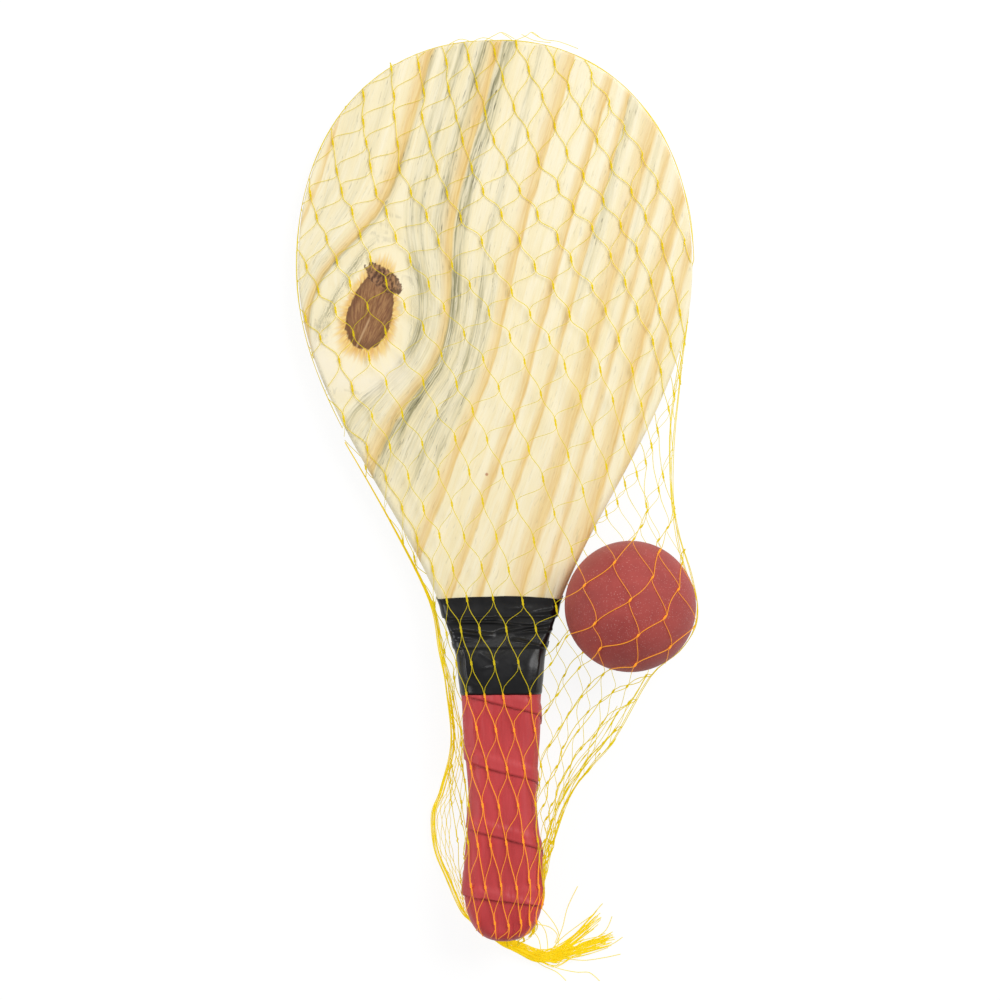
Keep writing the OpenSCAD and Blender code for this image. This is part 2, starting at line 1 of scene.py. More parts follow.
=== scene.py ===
"""Paddle ball game: a wooden bat and a rubber ball, tied together in one yellow mesh bag."""

import logging
import math
import random
from collections.abc import Callable, Sequence
from dataclasses import dataclass, field
from enum import Enum

import bmesh
import bpy
import numpy as np
from mathutils import Matrix, Vector, noise


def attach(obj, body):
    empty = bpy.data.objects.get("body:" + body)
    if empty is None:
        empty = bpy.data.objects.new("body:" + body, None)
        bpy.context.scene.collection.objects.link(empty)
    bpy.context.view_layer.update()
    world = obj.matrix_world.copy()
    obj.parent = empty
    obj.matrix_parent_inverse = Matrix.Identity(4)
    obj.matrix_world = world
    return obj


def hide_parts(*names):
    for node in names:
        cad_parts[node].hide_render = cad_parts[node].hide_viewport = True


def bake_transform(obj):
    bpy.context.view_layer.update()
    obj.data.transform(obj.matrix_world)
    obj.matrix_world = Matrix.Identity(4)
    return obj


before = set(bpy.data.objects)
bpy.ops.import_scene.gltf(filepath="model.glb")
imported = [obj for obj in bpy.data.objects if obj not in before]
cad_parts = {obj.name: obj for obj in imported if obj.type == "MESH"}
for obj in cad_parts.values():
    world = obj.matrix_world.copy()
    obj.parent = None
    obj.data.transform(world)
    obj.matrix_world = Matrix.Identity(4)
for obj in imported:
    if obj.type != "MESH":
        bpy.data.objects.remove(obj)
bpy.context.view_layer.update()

LOG = logging.getLogger("paddle_ball_game")
MM = 0.001
Point = tuple[float, float, float]
Strand = list[tuple[float, float, float, float]]
Place = tuple[float, float]
Number = tuple[int, int]


def ease(share: float) -> float:
    """Turn a share from 0 to 1 into one that starts and ends gently.

    Args:
        share: the share, which may lie outside 0 to 1.

    Returns:
        The gentle share.
    """
    return (1 - math.cos(math.pi * min(max(share, 0.0), 1.0))) / 2


def squircle(share: float, power: float) -> float:
    """Find the height of a rounded end.

    Args:
        share: share of the end's reach.
        power: 2 for an ellipse, and more for a squarer end.

    Returns:
        The height as a share.
    """
    return max(1 - min(max(share, 0.0), 1.0) ** power, 0.0) ** (1 / power)


def mix(start: float, end: float, share: float) -> float:
    """Go from start to end by a share.

    Args:
        start: the value at share 0.
        end: the value at share 1.
        share: the share.

    Returns:
        The value between.
    """
    return start + (end - start) * share


def srgb(code: str) -> tuple[float, float, float, float]:
    """Read a colour.

    Args:
        code: six hex digits.

    Returns:
        Its linear values with alpha.
    """
    parts = [int(code[i : i + 2], 16) / 255 for i in (0, 2, 4)]
    linear = [p / 12.92 if p <= 0.04045 else ((p + 0.055) / 1.055) ** 2.4 for p in parts]
    return (linear[0], linear[1], linear[2], 1.0)


def grey(value: float) -> tuple[float, float, float, float]:
    """Make a grey with alpha.

    Args:
        value: its linear value.

    Returns:
        The grey.
    """
    return (value, value, value, 1.0)


def operator(operation: str, swapped: bool = False) -> Callable[..., "Value"]:
    """Make an arithmetic operator of values.

    Args:
        operation: the math node's operation.
        swapped: put the other term first.

    Returns:
        The operator.
    """

    def apply(value: "Value", *others: object) -> "Value":
        """Add the math node.

        Args:
            value: the term that is always a value.
            others: the other term, where there is one.

        Returns:
            The result.
        """
        terms = (*others, value) if swapped else (value, *others)
        return value.wiring.math(operation, *terms)

    return apply


class Value:
    """A number, vector or colour in a node tree. Arithmetic on it adds math nodes."""

    def __init__(self, wiring: "Wiring", socket: bpy.types.NodeSocket) -> None:
        """Hold a socket.

        Args:
            wiring: what adds nodes to the tree.
            socket: the output that gives the value.
        """
        self.wiring = wiring
        self.socket = socket

    def math(self, operation: str, *terms: object, clamp: bool = False) -> "Value":
        """Put the value through a math node.

        Args:
            operation: the node's operation.
            terms: numbers or values that follow this one.
            clamp: keep the result from 0 to 1.

        Returns:
            The result.
        """
        return self.wiring.math(operation, self, *terms, clamp=clamp)

    __add__ = operator("ADD")
    __sub__ = operator("SUBTRACT")
    __rsub__ = operator("SUBTRACT", swapped=True)
    __mul__ = operator("MULTIPLY")
    __truediv__ = operator("DIVIDE")
    __rtruediv__ = operator("DIVIDE", swapped=True)
    __pow__ = operator("POWER")
    __abs__ = operator("ABSOLUTE")

    def fade(self, low: object, high: object, start: float = 0.0, end: float = 1.0) -> "Value":
        """Map the value smoothly, and clamp it.

        Args:
            low: what becomes start.
            high: what becomes end.
            start: the result at low.
            end: the result at high.

        Returns:
            The mapped value.
        """
        inputs = {0: self, 1: low, 2: high, 3: start, 4: end}
        return self.wiring.value("ShaderNodeMapRange", 0, inputs, interpolation_type="SMOOTHSTEP")


class Wiring:
    """Adds nodes to one node tree and joins them."""

    def __init__(self, tree: bpy.types.NodeTree) -> None:
        """Start on a tree.

        Args:
            tree: the material's or the group's node tree.
        """
        self.tree = tree

    def node(self, kind: str, inputs: dict | None = None, **settings: object) -> bpy.types.Node:
        """Add a node.

        Args:
            kind: the node's type.
            inputs: what goes to each input, by its name or number.
            settings: the node's own properties.

        Returns:
            The new node.
        """
        made = self.tree.nodes.new(kind)
        made.location = (len(self.tree.nodes) * 40, -(len(self.tree.nodes) % 8) * 60)
        for name, setting in settings.items():
            setattr(made, name, setting)
        return self.feed(made, inputs or {})

    def feed(self, node: bpy.types.Node, inputs: dict) -> bpy.types.Node:
        """Set or join a node's inputs.

        Args:
            node: the node.
            inputs: values, sockets, numbers or colour codes, by the input's name or number.

        Returns:
            The same node.
        """
        for name, given in inputs.items():
            if isinstance(given, Value):
                given = given.socket
            if isinstance(given, bpy.types.NodeSocket):
                self.tree.links.new(given, node.inputs[name])
            else:
                node.inputs[name].default_value = srgb(given) if isinstance(given, str) else given
        return node

    def value(self, kind: str, output: int | str, inputs: dict | None = None, **settings: object) -> Value:
        """Add a node and take one of its outputs.

        Args:
            kind: the node's type.
            output: the output's number or name.
            inputs: what goes to each input.
            settings: the node's own properties.

        Returns:
            The output's value.
        """
        return Value(self, self.node(kind, inputs, **settings).outputs[output])

    def math(self, operation: str, *terms: object, clamp: bool = False) -> Value:
        """Add a math node.

        Args:
            operation: the node's operation.
            terms: its numbers or values.
            clamp: keep the result from 0 to 1.

        Returns:
            The result.
        """
        return self.value("ShaderNodeMath", 0, dict(enumerate(terms)), operation=operation, use_clamp=clamp)

    def blend(self, factor: Value, first: object, second: object) -> Value:
        """Mix two colours.

        Args:
            factor: share of the second.
            first: a colour or its code.
            second: a colour or its code.

        Returns:
            The mixed colour.
        """
        return self.value("ShaderNodeMix", 2, {0: factor, 6: first, 7: second}, data_type="RGBA")

    def ramp(self, factor: Value, stops: Sequence[Place]) -> Value:
        """Map a value through greys.

        Args:
            factor: the value, from 0 to 1.
            stops: places with their greys, at most 32.

        Returns:
            The grey.
        """
        made = self.node("ShaderNodeValToRGB", {0: factor})
        elements = made.color_ramp.elements
        while len(elements) > 1:
            elements.remove(elements[-1])
        elements[0].position, elements[0].color = stops[0][0], grey(stops[0][1])
        for place, level in stops[1:]:
            elements.new(place).color = grey(level)
        return Value(self, made.outputs[0])

    def noise(self, vector: object, scale: object, detail: float = 3.0, roughness: float = 0.5) -> Value:
        """Add a noise texture.

        Args:
            vector: where it is read.
            scale: how fine it is.
            detail: how many finer layers it has.
            roughness: how strong they are.

        Returns:
            The noise's value.
        """
        inputs = {"Vector": vector, "Scale": scale, "Detail": detail, "Roughness": roughness}
        return self.value("ShaderNodeTexNoise", 0, inputs)

    def mapping(
        self, vector: Value, scale: Point = (1, 1, 1), place: Point = (0, 0, 0), turn: float = 0.0
    ) -> Value:
        """Move, turn about Z and scale a vector.

        Args:
            vector: the vector.
            scale: the scale on each axis.
            place: how far it moves.
            turn: the turn, in radians.

        Returns:
            The new vector.
        """
        inputs = {"Vector": vector, "Location": place, "Rotation": (0, 0, turn), "Scale": scale}
        return self.value("ShaderNodeMapping", 0, inputs)

    def split(self, vector: Value) -> list[Value]:
        """Take a vector apart.

        Args:
            vector: the vector.

        Returns:
            Its three parts.
        """
        return [Value(self, part) for part in self.node("ShaderNodeSeparateXYZ", {0: vector}).outputs]

    def join(self, x: object, y: object, z: object) -> Value:
        """Put a vector together.

        Args:
            x: its first part.
            y: its second part.
            z: its third part.

        Returns:
            The vector.
        """
        return self.value("ShaderNodeCombineXYZ", 0, {0: x, 1: y, 2: z})

    def length(self, x: Value, y: Value) -> Value:
        """Find the length of two parts at right angles.

        Args:
            x: one part.
            y: the other.

        Returns:
            The length.
        """
        return (x * x + y * y).math("SQRT")

    def object_mm(self) -> Value:
        """Give Object coordinates in millimetres.

        Returns:
            The vector.
        """
        return self.mapping(self.value("ShaderNodeTexCoord", "Object"), (1 / MM, 1 / MM, 1 / MM))

    def bump(
        self, height: Value, distance: float, strength: float = 1.0, under: Value | None = None
    ) -> Value:
        """Turn a height into a normal.

        Args:
            height: the height, from 0 to 1.
            distance: the height at 1, in metres.
            strength: how much of it counts.
            under: the normal that it lies on.

        Returns:
            The normal.
        """
        inputs = {"Height": height, "Distance": distance, "Strength": strength}
        return self.value("ShaderNodeBump", 0, inputs | ({"Normal": under} if under else {}))


class Effect(Enum):
    """Shared effects, each a node group that gives a mask from 0 to 1 in several finishes."""

    MOTTLE = "soft_mottle"
    SPECKS = "fine_specks"
    STREAKS = "long_streaks"

    def lay(self, wiring: Wiring, vector: Value, **amounts: float) -> Value:
        """Use the effect, and build its group the first time.

        Args:
            wiring: the tree that uses it.
            vector: where it is read.
            amounts: its other inputs, by name.

        Returns:
            The mask.
        """
        tree = bpy.data.node_groups.get(self.value) or self.build()
        inputs = {"Vector": vector} | {name.title(): amount for name, amount in amounts.items()}
        return wiring.value("ShaderNodeGroup", 0, inputs, node_tree=tree)

    def build(self) -> bpy.types.NodeTree:
        """Build the effect's group.

        Returns:
            The group's tree.
        """
        builders = {Effect.MOTTLE: mottle_mask, Effect.SPECKS: specks_mask, Effect.STREAKS: streaks_mask}
        amounts = {
            Effect.MOTTLE: {"Size": 10.0},
            Effect.SPECKS: {"Spacing": 1.0, "Radius": 0.2, "Share": 0.5},
            Effect.STREAKS: {"Width": 1.0, "Stretch": 20.0, "Low": 0.4, "High": 0.6},
        }[self]
        tree = bpy.data.node_groups.new(self.value, "ShaderNodeTree")
        tree.interface.new_socket(name="Vector", in_out="INPUT", socket_type="NodeSocketVector")
        for name, amount in amounts.items():
            made = tree.interface.new_socket(name=name, in_out="INPUT", socket_type="NodeSocketFloat")
            made.default_value = amount
        tree.interface.new_socket(name="Mask", in_out="OUTPUT", socket_type="NodeSocketFloat")
        wiring = Wiring(tree)
        outputs = wiring.node("NodeGroupInput").outputs
        given = [Value(wiring, outputs[name]) for name in ("Vector", *amounts)]
        wiring.node("NodeGroupOutput", {0: builders[self](wiring, *given)})
        return tree


def mottle_mask(wiring: Wiring, vector: Value, size: Value) -> Value:
    """Make soft clouds in two sizes.

    Args:
        wiring: the group's tree.
        vector: where they are read.
        size: how wide the broad ones are.

    Returns:
        The mask.
    """
    scale = 1.0 / size
    broad = wiring.noise(vector, scale, 2.0)
    fine = wiring.noise(vector, scale * 3.3, 4.0)
    return (fine * 0.4 + broad * 0.6).fade(0.32, 0.68)


def specks_mask(wiring: Wiring, vector: Value, spacing: Value, radius: Value, share: Value) -> Value:
    """Make scattered small dots.

    Args:
        wiring: the group's tree.
        vector: where they are read.
        spacing: the distance between the places that may hold a dot.
        radius: the largest radius, as a share of the spacing.
        share: share of the places that hold one.

    Returns:
        The mask, 1 on a dot.
    """
    cells = wiring.node("ShaderNodeTexVoronoi", {"Vector": vector, "Scale": 1.0 / spacing})
    red, green, _ = wiring.split(Value(wiring, cells.outputs["Color"]))
    near = radius * (green + 0.4) - cells.outputs["Distance"]
    return near.math("MULTIPLY", 12.0, clamp=True) * red.math("LESS_THAN", share)


def streaks_mask(
    wiring: Wiring, vector: Value, width: Value, stretch: Value, low: Value, high: Value
) -> Value:
    """Make streaks that run along the vector's Y axis.

    Args:
        wiring: the group's tree.
        vector: where they are read.
        width: how wide they are.
        stretch: how many times longer they are.
        low: the noise at which they start.
        high: the noise at which they are full.

    Returns:
        The mask.
    """
    across = 1.0 / width
    inputs = {0: vector, 1: wiring.join(across, across / stretch, across)}
    drawn = wiring.value("ShaderNodeVectorMath", 0, inputs, operation="MULTIPLY")
    return wiring.noise(drawn, 1.0, 3.0, 0.6).fade(low, high)


@dataclass(frozen=True)
class Finish:
    """A finish, made into a material once."""

    name: str

    def material(self) -> bpy.types.Material:
        """Give the finish's material, and build it the first time.

        Returns:
            The material.
        """
        found = bpy.data.materials.get(self.name)
        if found:
            return found
        made = bpy.data.materials.new(self.name)
        made.use_nodes = True
        made.node_tree.nodes.clear()
        wiring = Wiring(made.node_tree)
        shader = wiring.node("ShaderNodeBsdfPrincipled")
        self.dress(wiring, shader)
        wiring.node("ShaderNodeOutputMaterial", {"Surface": self.surface(wiring, shader)})
        return made

    def surface(self, wiring: Wiring, shader: bpy.types.Node) -> bpy.types.NodeSocket:
        """Give what goes to the material's output.

        Args:
            wiring: the material's tree.
            shader: its main shader.

        Returns:
            The socket.
        """
        return shader.outputs[0]

    def dress(self, wiring: Wiring, shader: bpy.types.Node) -> None:
        """Wire the finish's colour, roughness and normal.

        Args:
            wiring: the material's tree.
            shader: its main shader.
        """
        raise NotImplementedError

    def put_on(self, *pieces: bpy.types.Object) -> None:
        """Give pieces this finish.

        Args:
            pieces: the objects.
        """
        for piece in pieces:
            piece.data.materials.clear()
            piece.data.materials.append(self.material())


@dataclass(frozen=True)
class PineFinish(Finish):
    """Sanded pine with rings that flow round one knot. Lengths are in millimetres.

    Places are told by two coordinates: across the grain from the knot, and along it.
    """

    name: str = "pine_with_knot"
    knot: Place = (-53.2, 88.5)
    lean: float = math.radians(16.3)
    face_slope: float = 0.03257
    face_height: float = 17.1
    ring_slant: float = 0.35
    push: float = 32.7
    push_across: float = 34.7
    push_up: float = 30.0
    push_down: float = 26.0
    push_middle: float = -6.0
    knot_half_width: float = 9.6
    knot_half_length: float = 17.6
    speck: Place = (66.8, -56.0)
    speck_radius: float = 0.9
    ring_start: float = -62.0
    ring_span: float = 205.0
    # Each late ring's place across the grain, its width and how dark it is
    rings: tuple[Point, ...] = (
        (-34.6, 2.6, 0.7), (-5.6, 5.4, 1.0), (21.2, 6.2, 0.95), (52.8, 5.0, 0.8), (71.2, 3.6, 0.8),
        (81.0, 2.8, 0.75), (94.0, 6.6, 0.75), (104.0, 2.8, 0.75), (113.6, 6.0, 0.85), (123.4, 3.8, 0.75),
    )
    # Grey stain across the grain, above the knot and beside and below it
    stain_above: tuple[Place, ...] = (
        (-34.0, 0.0), (-28.0, 0.45), (-22.0, 0.1), (-17.5, 0.5), (-14.0, 0.0), (-5.0, 0.0), (-2.6, 0.95),
        (-0.5, 0.6), (3.0, 0.45), (4.5, 0.75), (6.5, 0.35), (8.6, 0.95), (11.0, 0.3), (14.0, 0.35),
        (17.0, 1.0), (19.5, 0.6), (21.5, 0.1), (24.2, 0.3), (25.0, 1.0), (29.0, 0.9), (31.5, 0.1),
        (39.0, 0.15), (41.0, 0.75), (43.5, 0.1), (81.8, 0.0), (83.0, 0.7), (86.0, 0.5), (88.0, 0.0),
        (97.5, 0.0), (99.5, 0.55), (101.5, 0.0),
    )
    stain_beside: tuple[Place, ...] = (
        (-30.0, 0.1), (-21.0, 0.2), (-12.0, 0.5), (-6.0, 0.2), (-1.5, 0.9), (4.0, 0.95), (10.0, 0.6),
        (15.0, 0.45), (18.6, 0.3), (21.5, 0.2), (24.4, 1.0), (28.6, 1.0), (31.0, 0.5), (34.0, 0.65),
        (37.5, 0.35), (40.5, 0.95), (44.5, 0.5), (47.2, 0.9), (50.0, 0.1), (54.0, 0.0),
    )
    # Width, stretch, start and end of the fine, broad, dashed and lined grain
    grains: tuple[tuple[float, float, float, float], ...] = (
        (0.8, 30.0, 0.36, 0.66), (3.4, 15.0, 0.36, 0.64), (0.75, 11.0, 0.6, 0.7), (0.5, 60.0, 0.45, 0.7),
    )

    def dress(self, wiring: Wiring, shader: bpy.types.Node) -> None:
        """Wire rings, stain, knot and fine grain.

        Args:
            wiring: the material's tree.
            shader: its main shader.
        """
        place = wiring.object_mm()
        x, y, z = wiring.split(place)
        dx, dy = x - self.knot[0], y - self.knot[1]
        sine, cosine = math.sin(self.lean), math.cos(self.lean)
        across = dx * cosine - dy * sine
        along = dx * sine + dy * cosine
        wobble = wiring.noise(wiring.mapping(place, (0.03, 0.008, 0.03)), 1.0, 2.0)
        small = wiring.noise(wiring.mapping(place, (0.3, 0.035, 0.3)), 1.0, 2.0)
        flow, still = self.flow_lines(across, along)
        depth = y * self.face_slope + (z - self.face_height)
        flow = flow + depth * self.ring_slant + (wobble * 3.2 - 1.6) + (small * 1.7 - 0.85)
        share = (flow - self.ring_start) / self.ring_span
        late = wiring.ramp(share, self.ring_stops()) ** 0.75
        above, beside = (
            wiring.ramp(share, [(self.share(q), level) for q, level in bands])
            for bands in (self.stain_above, self.stain_beside)
        )
        stain = wiring.blend(along.fade(12.0, 40.0), beside, above) ** 1.5
        stain = stain * along.fade(-95.0, -45.0) * still.fade(0.2, 3.0, 0.06, 1.0)
        fine, broad, dashes, lines = (
            Effect.STREAKS.lay(
                wiring, wiring.join(flow, along, z), width=width, stretch=stretch, low=low, high=high
            )
            for width, stretch, low, high in self.grains
        )
        base = wiring.blend(lines * 0.28, wiring.blend(broad, "F4EBCD", "F1E5BE"), "EAD49C")
        colour = wiring.blend(late, base, wiring.blend(fine, "E9CA82", "DDB25C"))
        veil = stain * (fine * 0.75 + 0.25) * 0.95
        colour = wiring.blend(veil, colour, wiring.blend(stain**3.0, "B0AA86", "87835F"))
        colour = wiring.blend(dashes * (stain * 0.8 + 0.18), colour, "5F5C49")
        colour, knot_mask = self.add_knot(wiring, colour, across, along, z)
        reach = wiring.length(across - self.speck[0], along - self.speck[1])
        speck = reach.fade(self.speck_radius, self.speck_radius * 0.4)
        inputs = {
            "Base Color": wiring.blend(speck * 0.7, colour, "A8552E"),
            "Roughness": late.fade(0.0, 1.0, 0.62, 0.5),
            "Normal": wiring.bump(fine * 0.5 - knot_mask * 0.6, 0.00008, 0.6),
            "Specular IOR Level": 0.3,
        }
        wiring.feed(shader, inputs)

    def share(self, place: float) -> float:
        """Turn a place across the grain into a share of the rings' span.

        Args:
            place: the place.

        Returns:
            The share.
        """
        return (place - self.ring_start) / self.ring_span

    def ring_stops(self) -> list[Place]:
        """Give each late ring a soft side and a sharp side.

        Returns:
            Places with their greys.
        """
        stops = []
        for place, width, dark in self.rings:
            for part, level in ((-0.72, 0.0), (0.42, dark), (0.55, 0.0)):
                stops.append((self.share(place + width * part), level))
        return stops

    def flow_lines(self, across: Value, along: Value) -> tuple[Value, Value]:
        """Push the lines of the grain apart round the knot, and lean them below it.

        Args:
            across: the place across the grain.
            along: the place along it.

        Returns:
            The grain's place across, and how far the point is from the still ground beside the knot.
        """
        off = along - self.push_middle
        up = off.math("MAXIMUM", 0.0) / self.push_up
        down = off.math("MINIMUM", 0.0) / self.push_down
        width = across / self.push_across
        reach = width * width + abs(up + down) ** 2.0
        push = (reach * -1.0).math("EXPONENT") * self.push * across.fade(-6.0, 6.0, 1.0, 0.87)
        size = (abs(across) - push).math("MAXIMUM", 0.0)
        low = (-20.0 - along).math("MAXIMUM", 0.0)
        return across.math("SIGN") * size + low * across.fade(60.0, 95.0, 0.082, 0.02), size

    def add_knot(
        self, wiring: Wiring, colour: Value, across: Value, along: Value, z: Value
    ) -> tuple[Value, Value]:
        """Lay the knot and what surrounds it over the grain.

        Args:
            wiring: the material's tree.
            colour: the grain's colour.
            across: the place across the grain.
            along: the place along it.
            z: the height.

        Returns:
            The colour, and the mask of the knot itself.
        """
        u, v = across - 1.2, along + 1.5
        ragged = wiring.noise(wiring.mapping(wiring.join(u, v, z), (0.9, 0.45, 1.0)), 1.0, 5.0)
        # The knot is narrower at its top
        wide = u / self.knot_half_width * (v * 0.014 + 1.05)
        tall = v / self.knot_half_length
        reach = wiring.length(wide, tall)
        rough = reach + (ragged * 0.22 - 0.11)
        angle = wide.math("ARCTAN2", tall)
        # Grey ring with fibres that run round the knot, none at the bottom
        bent = wiring.join(rough * 17.0, angle * 12.0, z)
        fibres = Effect.STREAKS.lay(wiring, bent, width=0.6, stretch=12.0, low=0.4, high=0.62)
        dark = Effect.STREAKS.lay(wiring, bent, width=0.7, stretch=8.0, low=0.6, high=0.68)
        band = reach - u.fade(-4.0, 4.0, 0.0, 0.32)
        ring = band.fade(1.38, 1.6) * band.fade(2.15, 1.8) * abs(u).fade(3.0, 12.0)
        ring = ring * v.fade(-26.0, -8.0) * u.fade(3.0, -5.0, 0.4, 1.0) * (fibres * 0.8 + 0.14)
        pale = reach.fade(2.5, 1.6) * v.fade(-10.0, -20.0)
        # Orange rim with a pale halo
        rays = wiring.noise(wiring.join(angle * 14.0, reach * 1.2, 0.0), 1.0, 4.0)
        halo = reach + (rays * 0.7 - 0.35)
        layers = (
            (pale * 0.8, "F4EBD5"),
            (ring, "A9A280"),
            (dark * ring * 0.35, "55523F"),
            (halo.fade(1.85, 1.4) * 0.75, "F6EAC6"),
            (halo.fade(1.42, 1.08) * 0.9, wiring.blend(rays.fade(0.4, 0.6), "EFCC7C", "DCA545")),
        )
        for mask, layer in layers:
            colour = wiring.blend(mask, colour, layer)
        # Heart with fibres that fan out upward and one pale streak
        fan = u.math("ARCTAN2", v + 30.0)
        threads = wiring.noise(wiring.join(fan * 46.0, v * 0.22, z), 1.0, 5.0, 0.62)
        heart = wiring.blend(threads.fade(0.34, 0.66), "7C5136", "A47A50")
        heart = wiring.blend(rough.fade(0.62, 1.0) * 0.6, heart, "66432B")
        streak = abs(v * -0.16 + (u - 1.0)).fade(0.7, 0.1) * v.fade(-2.0, -6.0)
        heart = wiring.blend(streak * 0.5, heart, "D9B58A")
        mask = rough.fade(1.03, 0.96)
        # Broken cap at the top
        cap = wiring.length((u - 1.6) / 9.2, (v - (u * -0.3 + 14.0)) / 4.6) + (ragged * 0.62 - 0.31)
        cap_mask = cap.fade(1.02, 0.9)
        cap_colour = wiring.blend(ragged.fade(0.4, 0.62), "54382A", "A37853")
        colour = wiring.blend(cap_mask * 0.92, wiring.blend(mask, colour, heart), cap_colour)
        return colour, mask.math("MAXIMUM", cap_mask)


@dataclass(frozen=True)
class PlainWoodFinish(Finish):
    """Bare wood of the cheeks, with fine straight grain."""

    name: str = "cheek_pine"

    def dress(self, wiring: Wiring, shader: bpy.types.Node) -> None:
        """Wire straight streaks along the handle.

        Args:
            wiring: the material's tree.
            shader: its main shader.
        """
        fine = Effect.STREAKS.lay(wiring, wiring.object_mm(), width=1.2, stretch=25.0)
        inputs = {
            "Base Color": wiring.blend(fine, "EBD5A8", "DDBB82"),
            "Roughness": fine.fade(0.0, 1.0, 0.62, 0.5),
            "Normal": wiring.bump(fine, 0.00008),
        }
        wiring.feed(shader, inputs)


@dataclass(frozen=True)
class TapeFinish(Finish):
    """Glossy black vinyl tape, stretched and creased."""

    name: str = "black_vinyl_tape"

    def dress(self, wiring: Wiring, shader: bpy.types.Node) -> None:
        """Wire creases, stretch marks and a little dust.

        Args:
            wiring: the material's tree.
            shader: its main shader.
        """
        place = wiring.object_mm()
        bent = wiring.value("ShaderNodeTexNoise", 1, {"Vector": place, "Scale": 0.11, "Detail": 2.0})
        bend = wiring.value("ShaderNodeVectorMath", 0, {0: bent, "Scale": 9.0}, operation="SCALE")
        moved = wiring.value("ShaderNodeVectorMath", 0, {0: place, 1: bend}, operation="ADD")
        folds = wiring.noise(wiring.mapping(moved, (0.07, 0.24, 0.12)), 1.0, 2.0, 0.45)
        crumple = wiring.noise(wiring.mapping(moved, (0.5, 0.7, 0.5)), 1.0, 2.0)
        mottle = Effect.MOTTLE.lay(wiring, place, size=9.0)
        dust = Effect.SPECKS.lay(wiring, place, spacing=1.6, radius=0.1, share=0.18)
        inputs = {
            "Base Color": wiring.blend(dust * 0.3, wiring.blend(mottle, "0C0C0E", "141416"), "8A8A86"),
            "Roughness": mottle.fade(0.0, 1.0, 0.28, 0.36),
            "Normal": wiring.bump(crumple, 0.00004, 0.5, wiring.bump(folds, 0.0005, 0.3)),
            "Specular IOR Level": 0.34,
            "Coat Weight": 0.1,
            "Coat Roughness": 0.12,
        }
        wiring.feed(shader, inputs)


@dataclass(frozen=True)
class GripFinish(Finish):
    """Satin red grip tape with soft wrinkles along the handle."""

    name: str = "red_grip_tape"

    def dress(self, wiring: Wiring, shader: bpy.types.Node) -> None:
        """Wire wrinkles with painted shade in their troughs, colour drift and fine lint.

        Args:
            wiring: the material's tree.
            shader: its main shader.
        """
        place = wiring.object_mm()
        leaning = wiring.mapping(place, turn=math.radians(3))
        soft = Effect.STREAKS.lay(wiring, leaning, width=7.0, stretch=7.0, low=0.3, high=0.7)
        fine = Effect.STREAKS.lay(wiring, leaning, width=1.6, stretch=9.0, low=0.3, high=0.75)
        mottle = Effect.MOTTLE.lay(wiring, place, size=16.0)
        lint = Effect.SPECKS.lay(wiring, place, spacing=1.3, radius=0.09, share=0.2)
        # Painted shade: the broad wrinkles' troughs are darker red and their ridges lighter, by the wrinkles'
        # own mask
        colour = wiring.blend(mottle * 0.3, wiring.blend(soft, "B42F33", "C43B3F"), "BE393C")
        wrinkles = wiring.bump(fine, 0.00016, 0.35, wiring.bump(soft, 0.0007, 0.45))
        inputs = {
            "Base Color": wiring.blend(lint * 0.25, colour, "E58A8C"),
            "Roughness": mottle.fade(0.0, 1.0, 0.46, 0.6),
            "Normal": wiring.bump(wiring.noise(place, 3.2, 2.0), 0.00003, 0.5, wrinkles),
            "Sheen Weight": 0.12,
            "Sheen Roughness": 0.5,
        }
        wiring.feed(shader, inputs)


@dataclass(frozen=True)
class RubberFinish(Finish):
    """Dull red rubber, dusty and scuffed."""

    name: str = "dusty_red_rubber"

    def dress(self, wiring: Wiring, shader: bpy.types.Node) -> None:
        """Wire pale specks, scuffs and drift of colour.

        Args:
            wiring: the material's tree.
            shader: its main shader.
        """
        place = wiring.object_mm()
        mottle = Effect.MOTTLE.lay(wiring, place, size=18.0)
        patches = Effect.MOTTLE.lay(wiring, wiring.mapping(place, place=(40, 7, 3)), size=26.0)
        specks = Effect.SPECKS.lay(wiring, place, spacing=0.6, radius=0.3, share=0.6)
        moved = wiring.mapping(place, place=(9, 4, 2))
        grains = Effect.SPECKS.lay(wiring, moved, spacing=1.7, radius=0.17, share=0.3)
        turned = wiring.mapping(place, turn=0.9)
        scuffs = Effect.STREAKS.lay(wiring, turned, width=0.7, stretch=7.0, low=0.66, high=0.8)
        colour = wiring.blend(mottle, "9C3E3A", "AC4B45")
        dusted = specks * (patches * 0.42 + 0.1)
        for mask, layer in ((dusted, "D59C94"), (grains * 0.3, "DDAAA0"), (scuffs * 0.3, "7C2F33")):
            colour = wiring.blend(mask, colour, layer)
        inputs = {
            "Base Color": colour,
            "Roughness": mottle.fade(0.0, 1.0, 0.66, 0.8),
            "Normal": wiring.bump(wiring.noise(place, 2.2, 3.0), 0.00006, 0.6),
            "Specular IOR Level": 0.3,
            "Sheen Weight": 0.12,
            "Sheen Roughness": 0.5,
        }
        wiring.feed(shader, inputs)


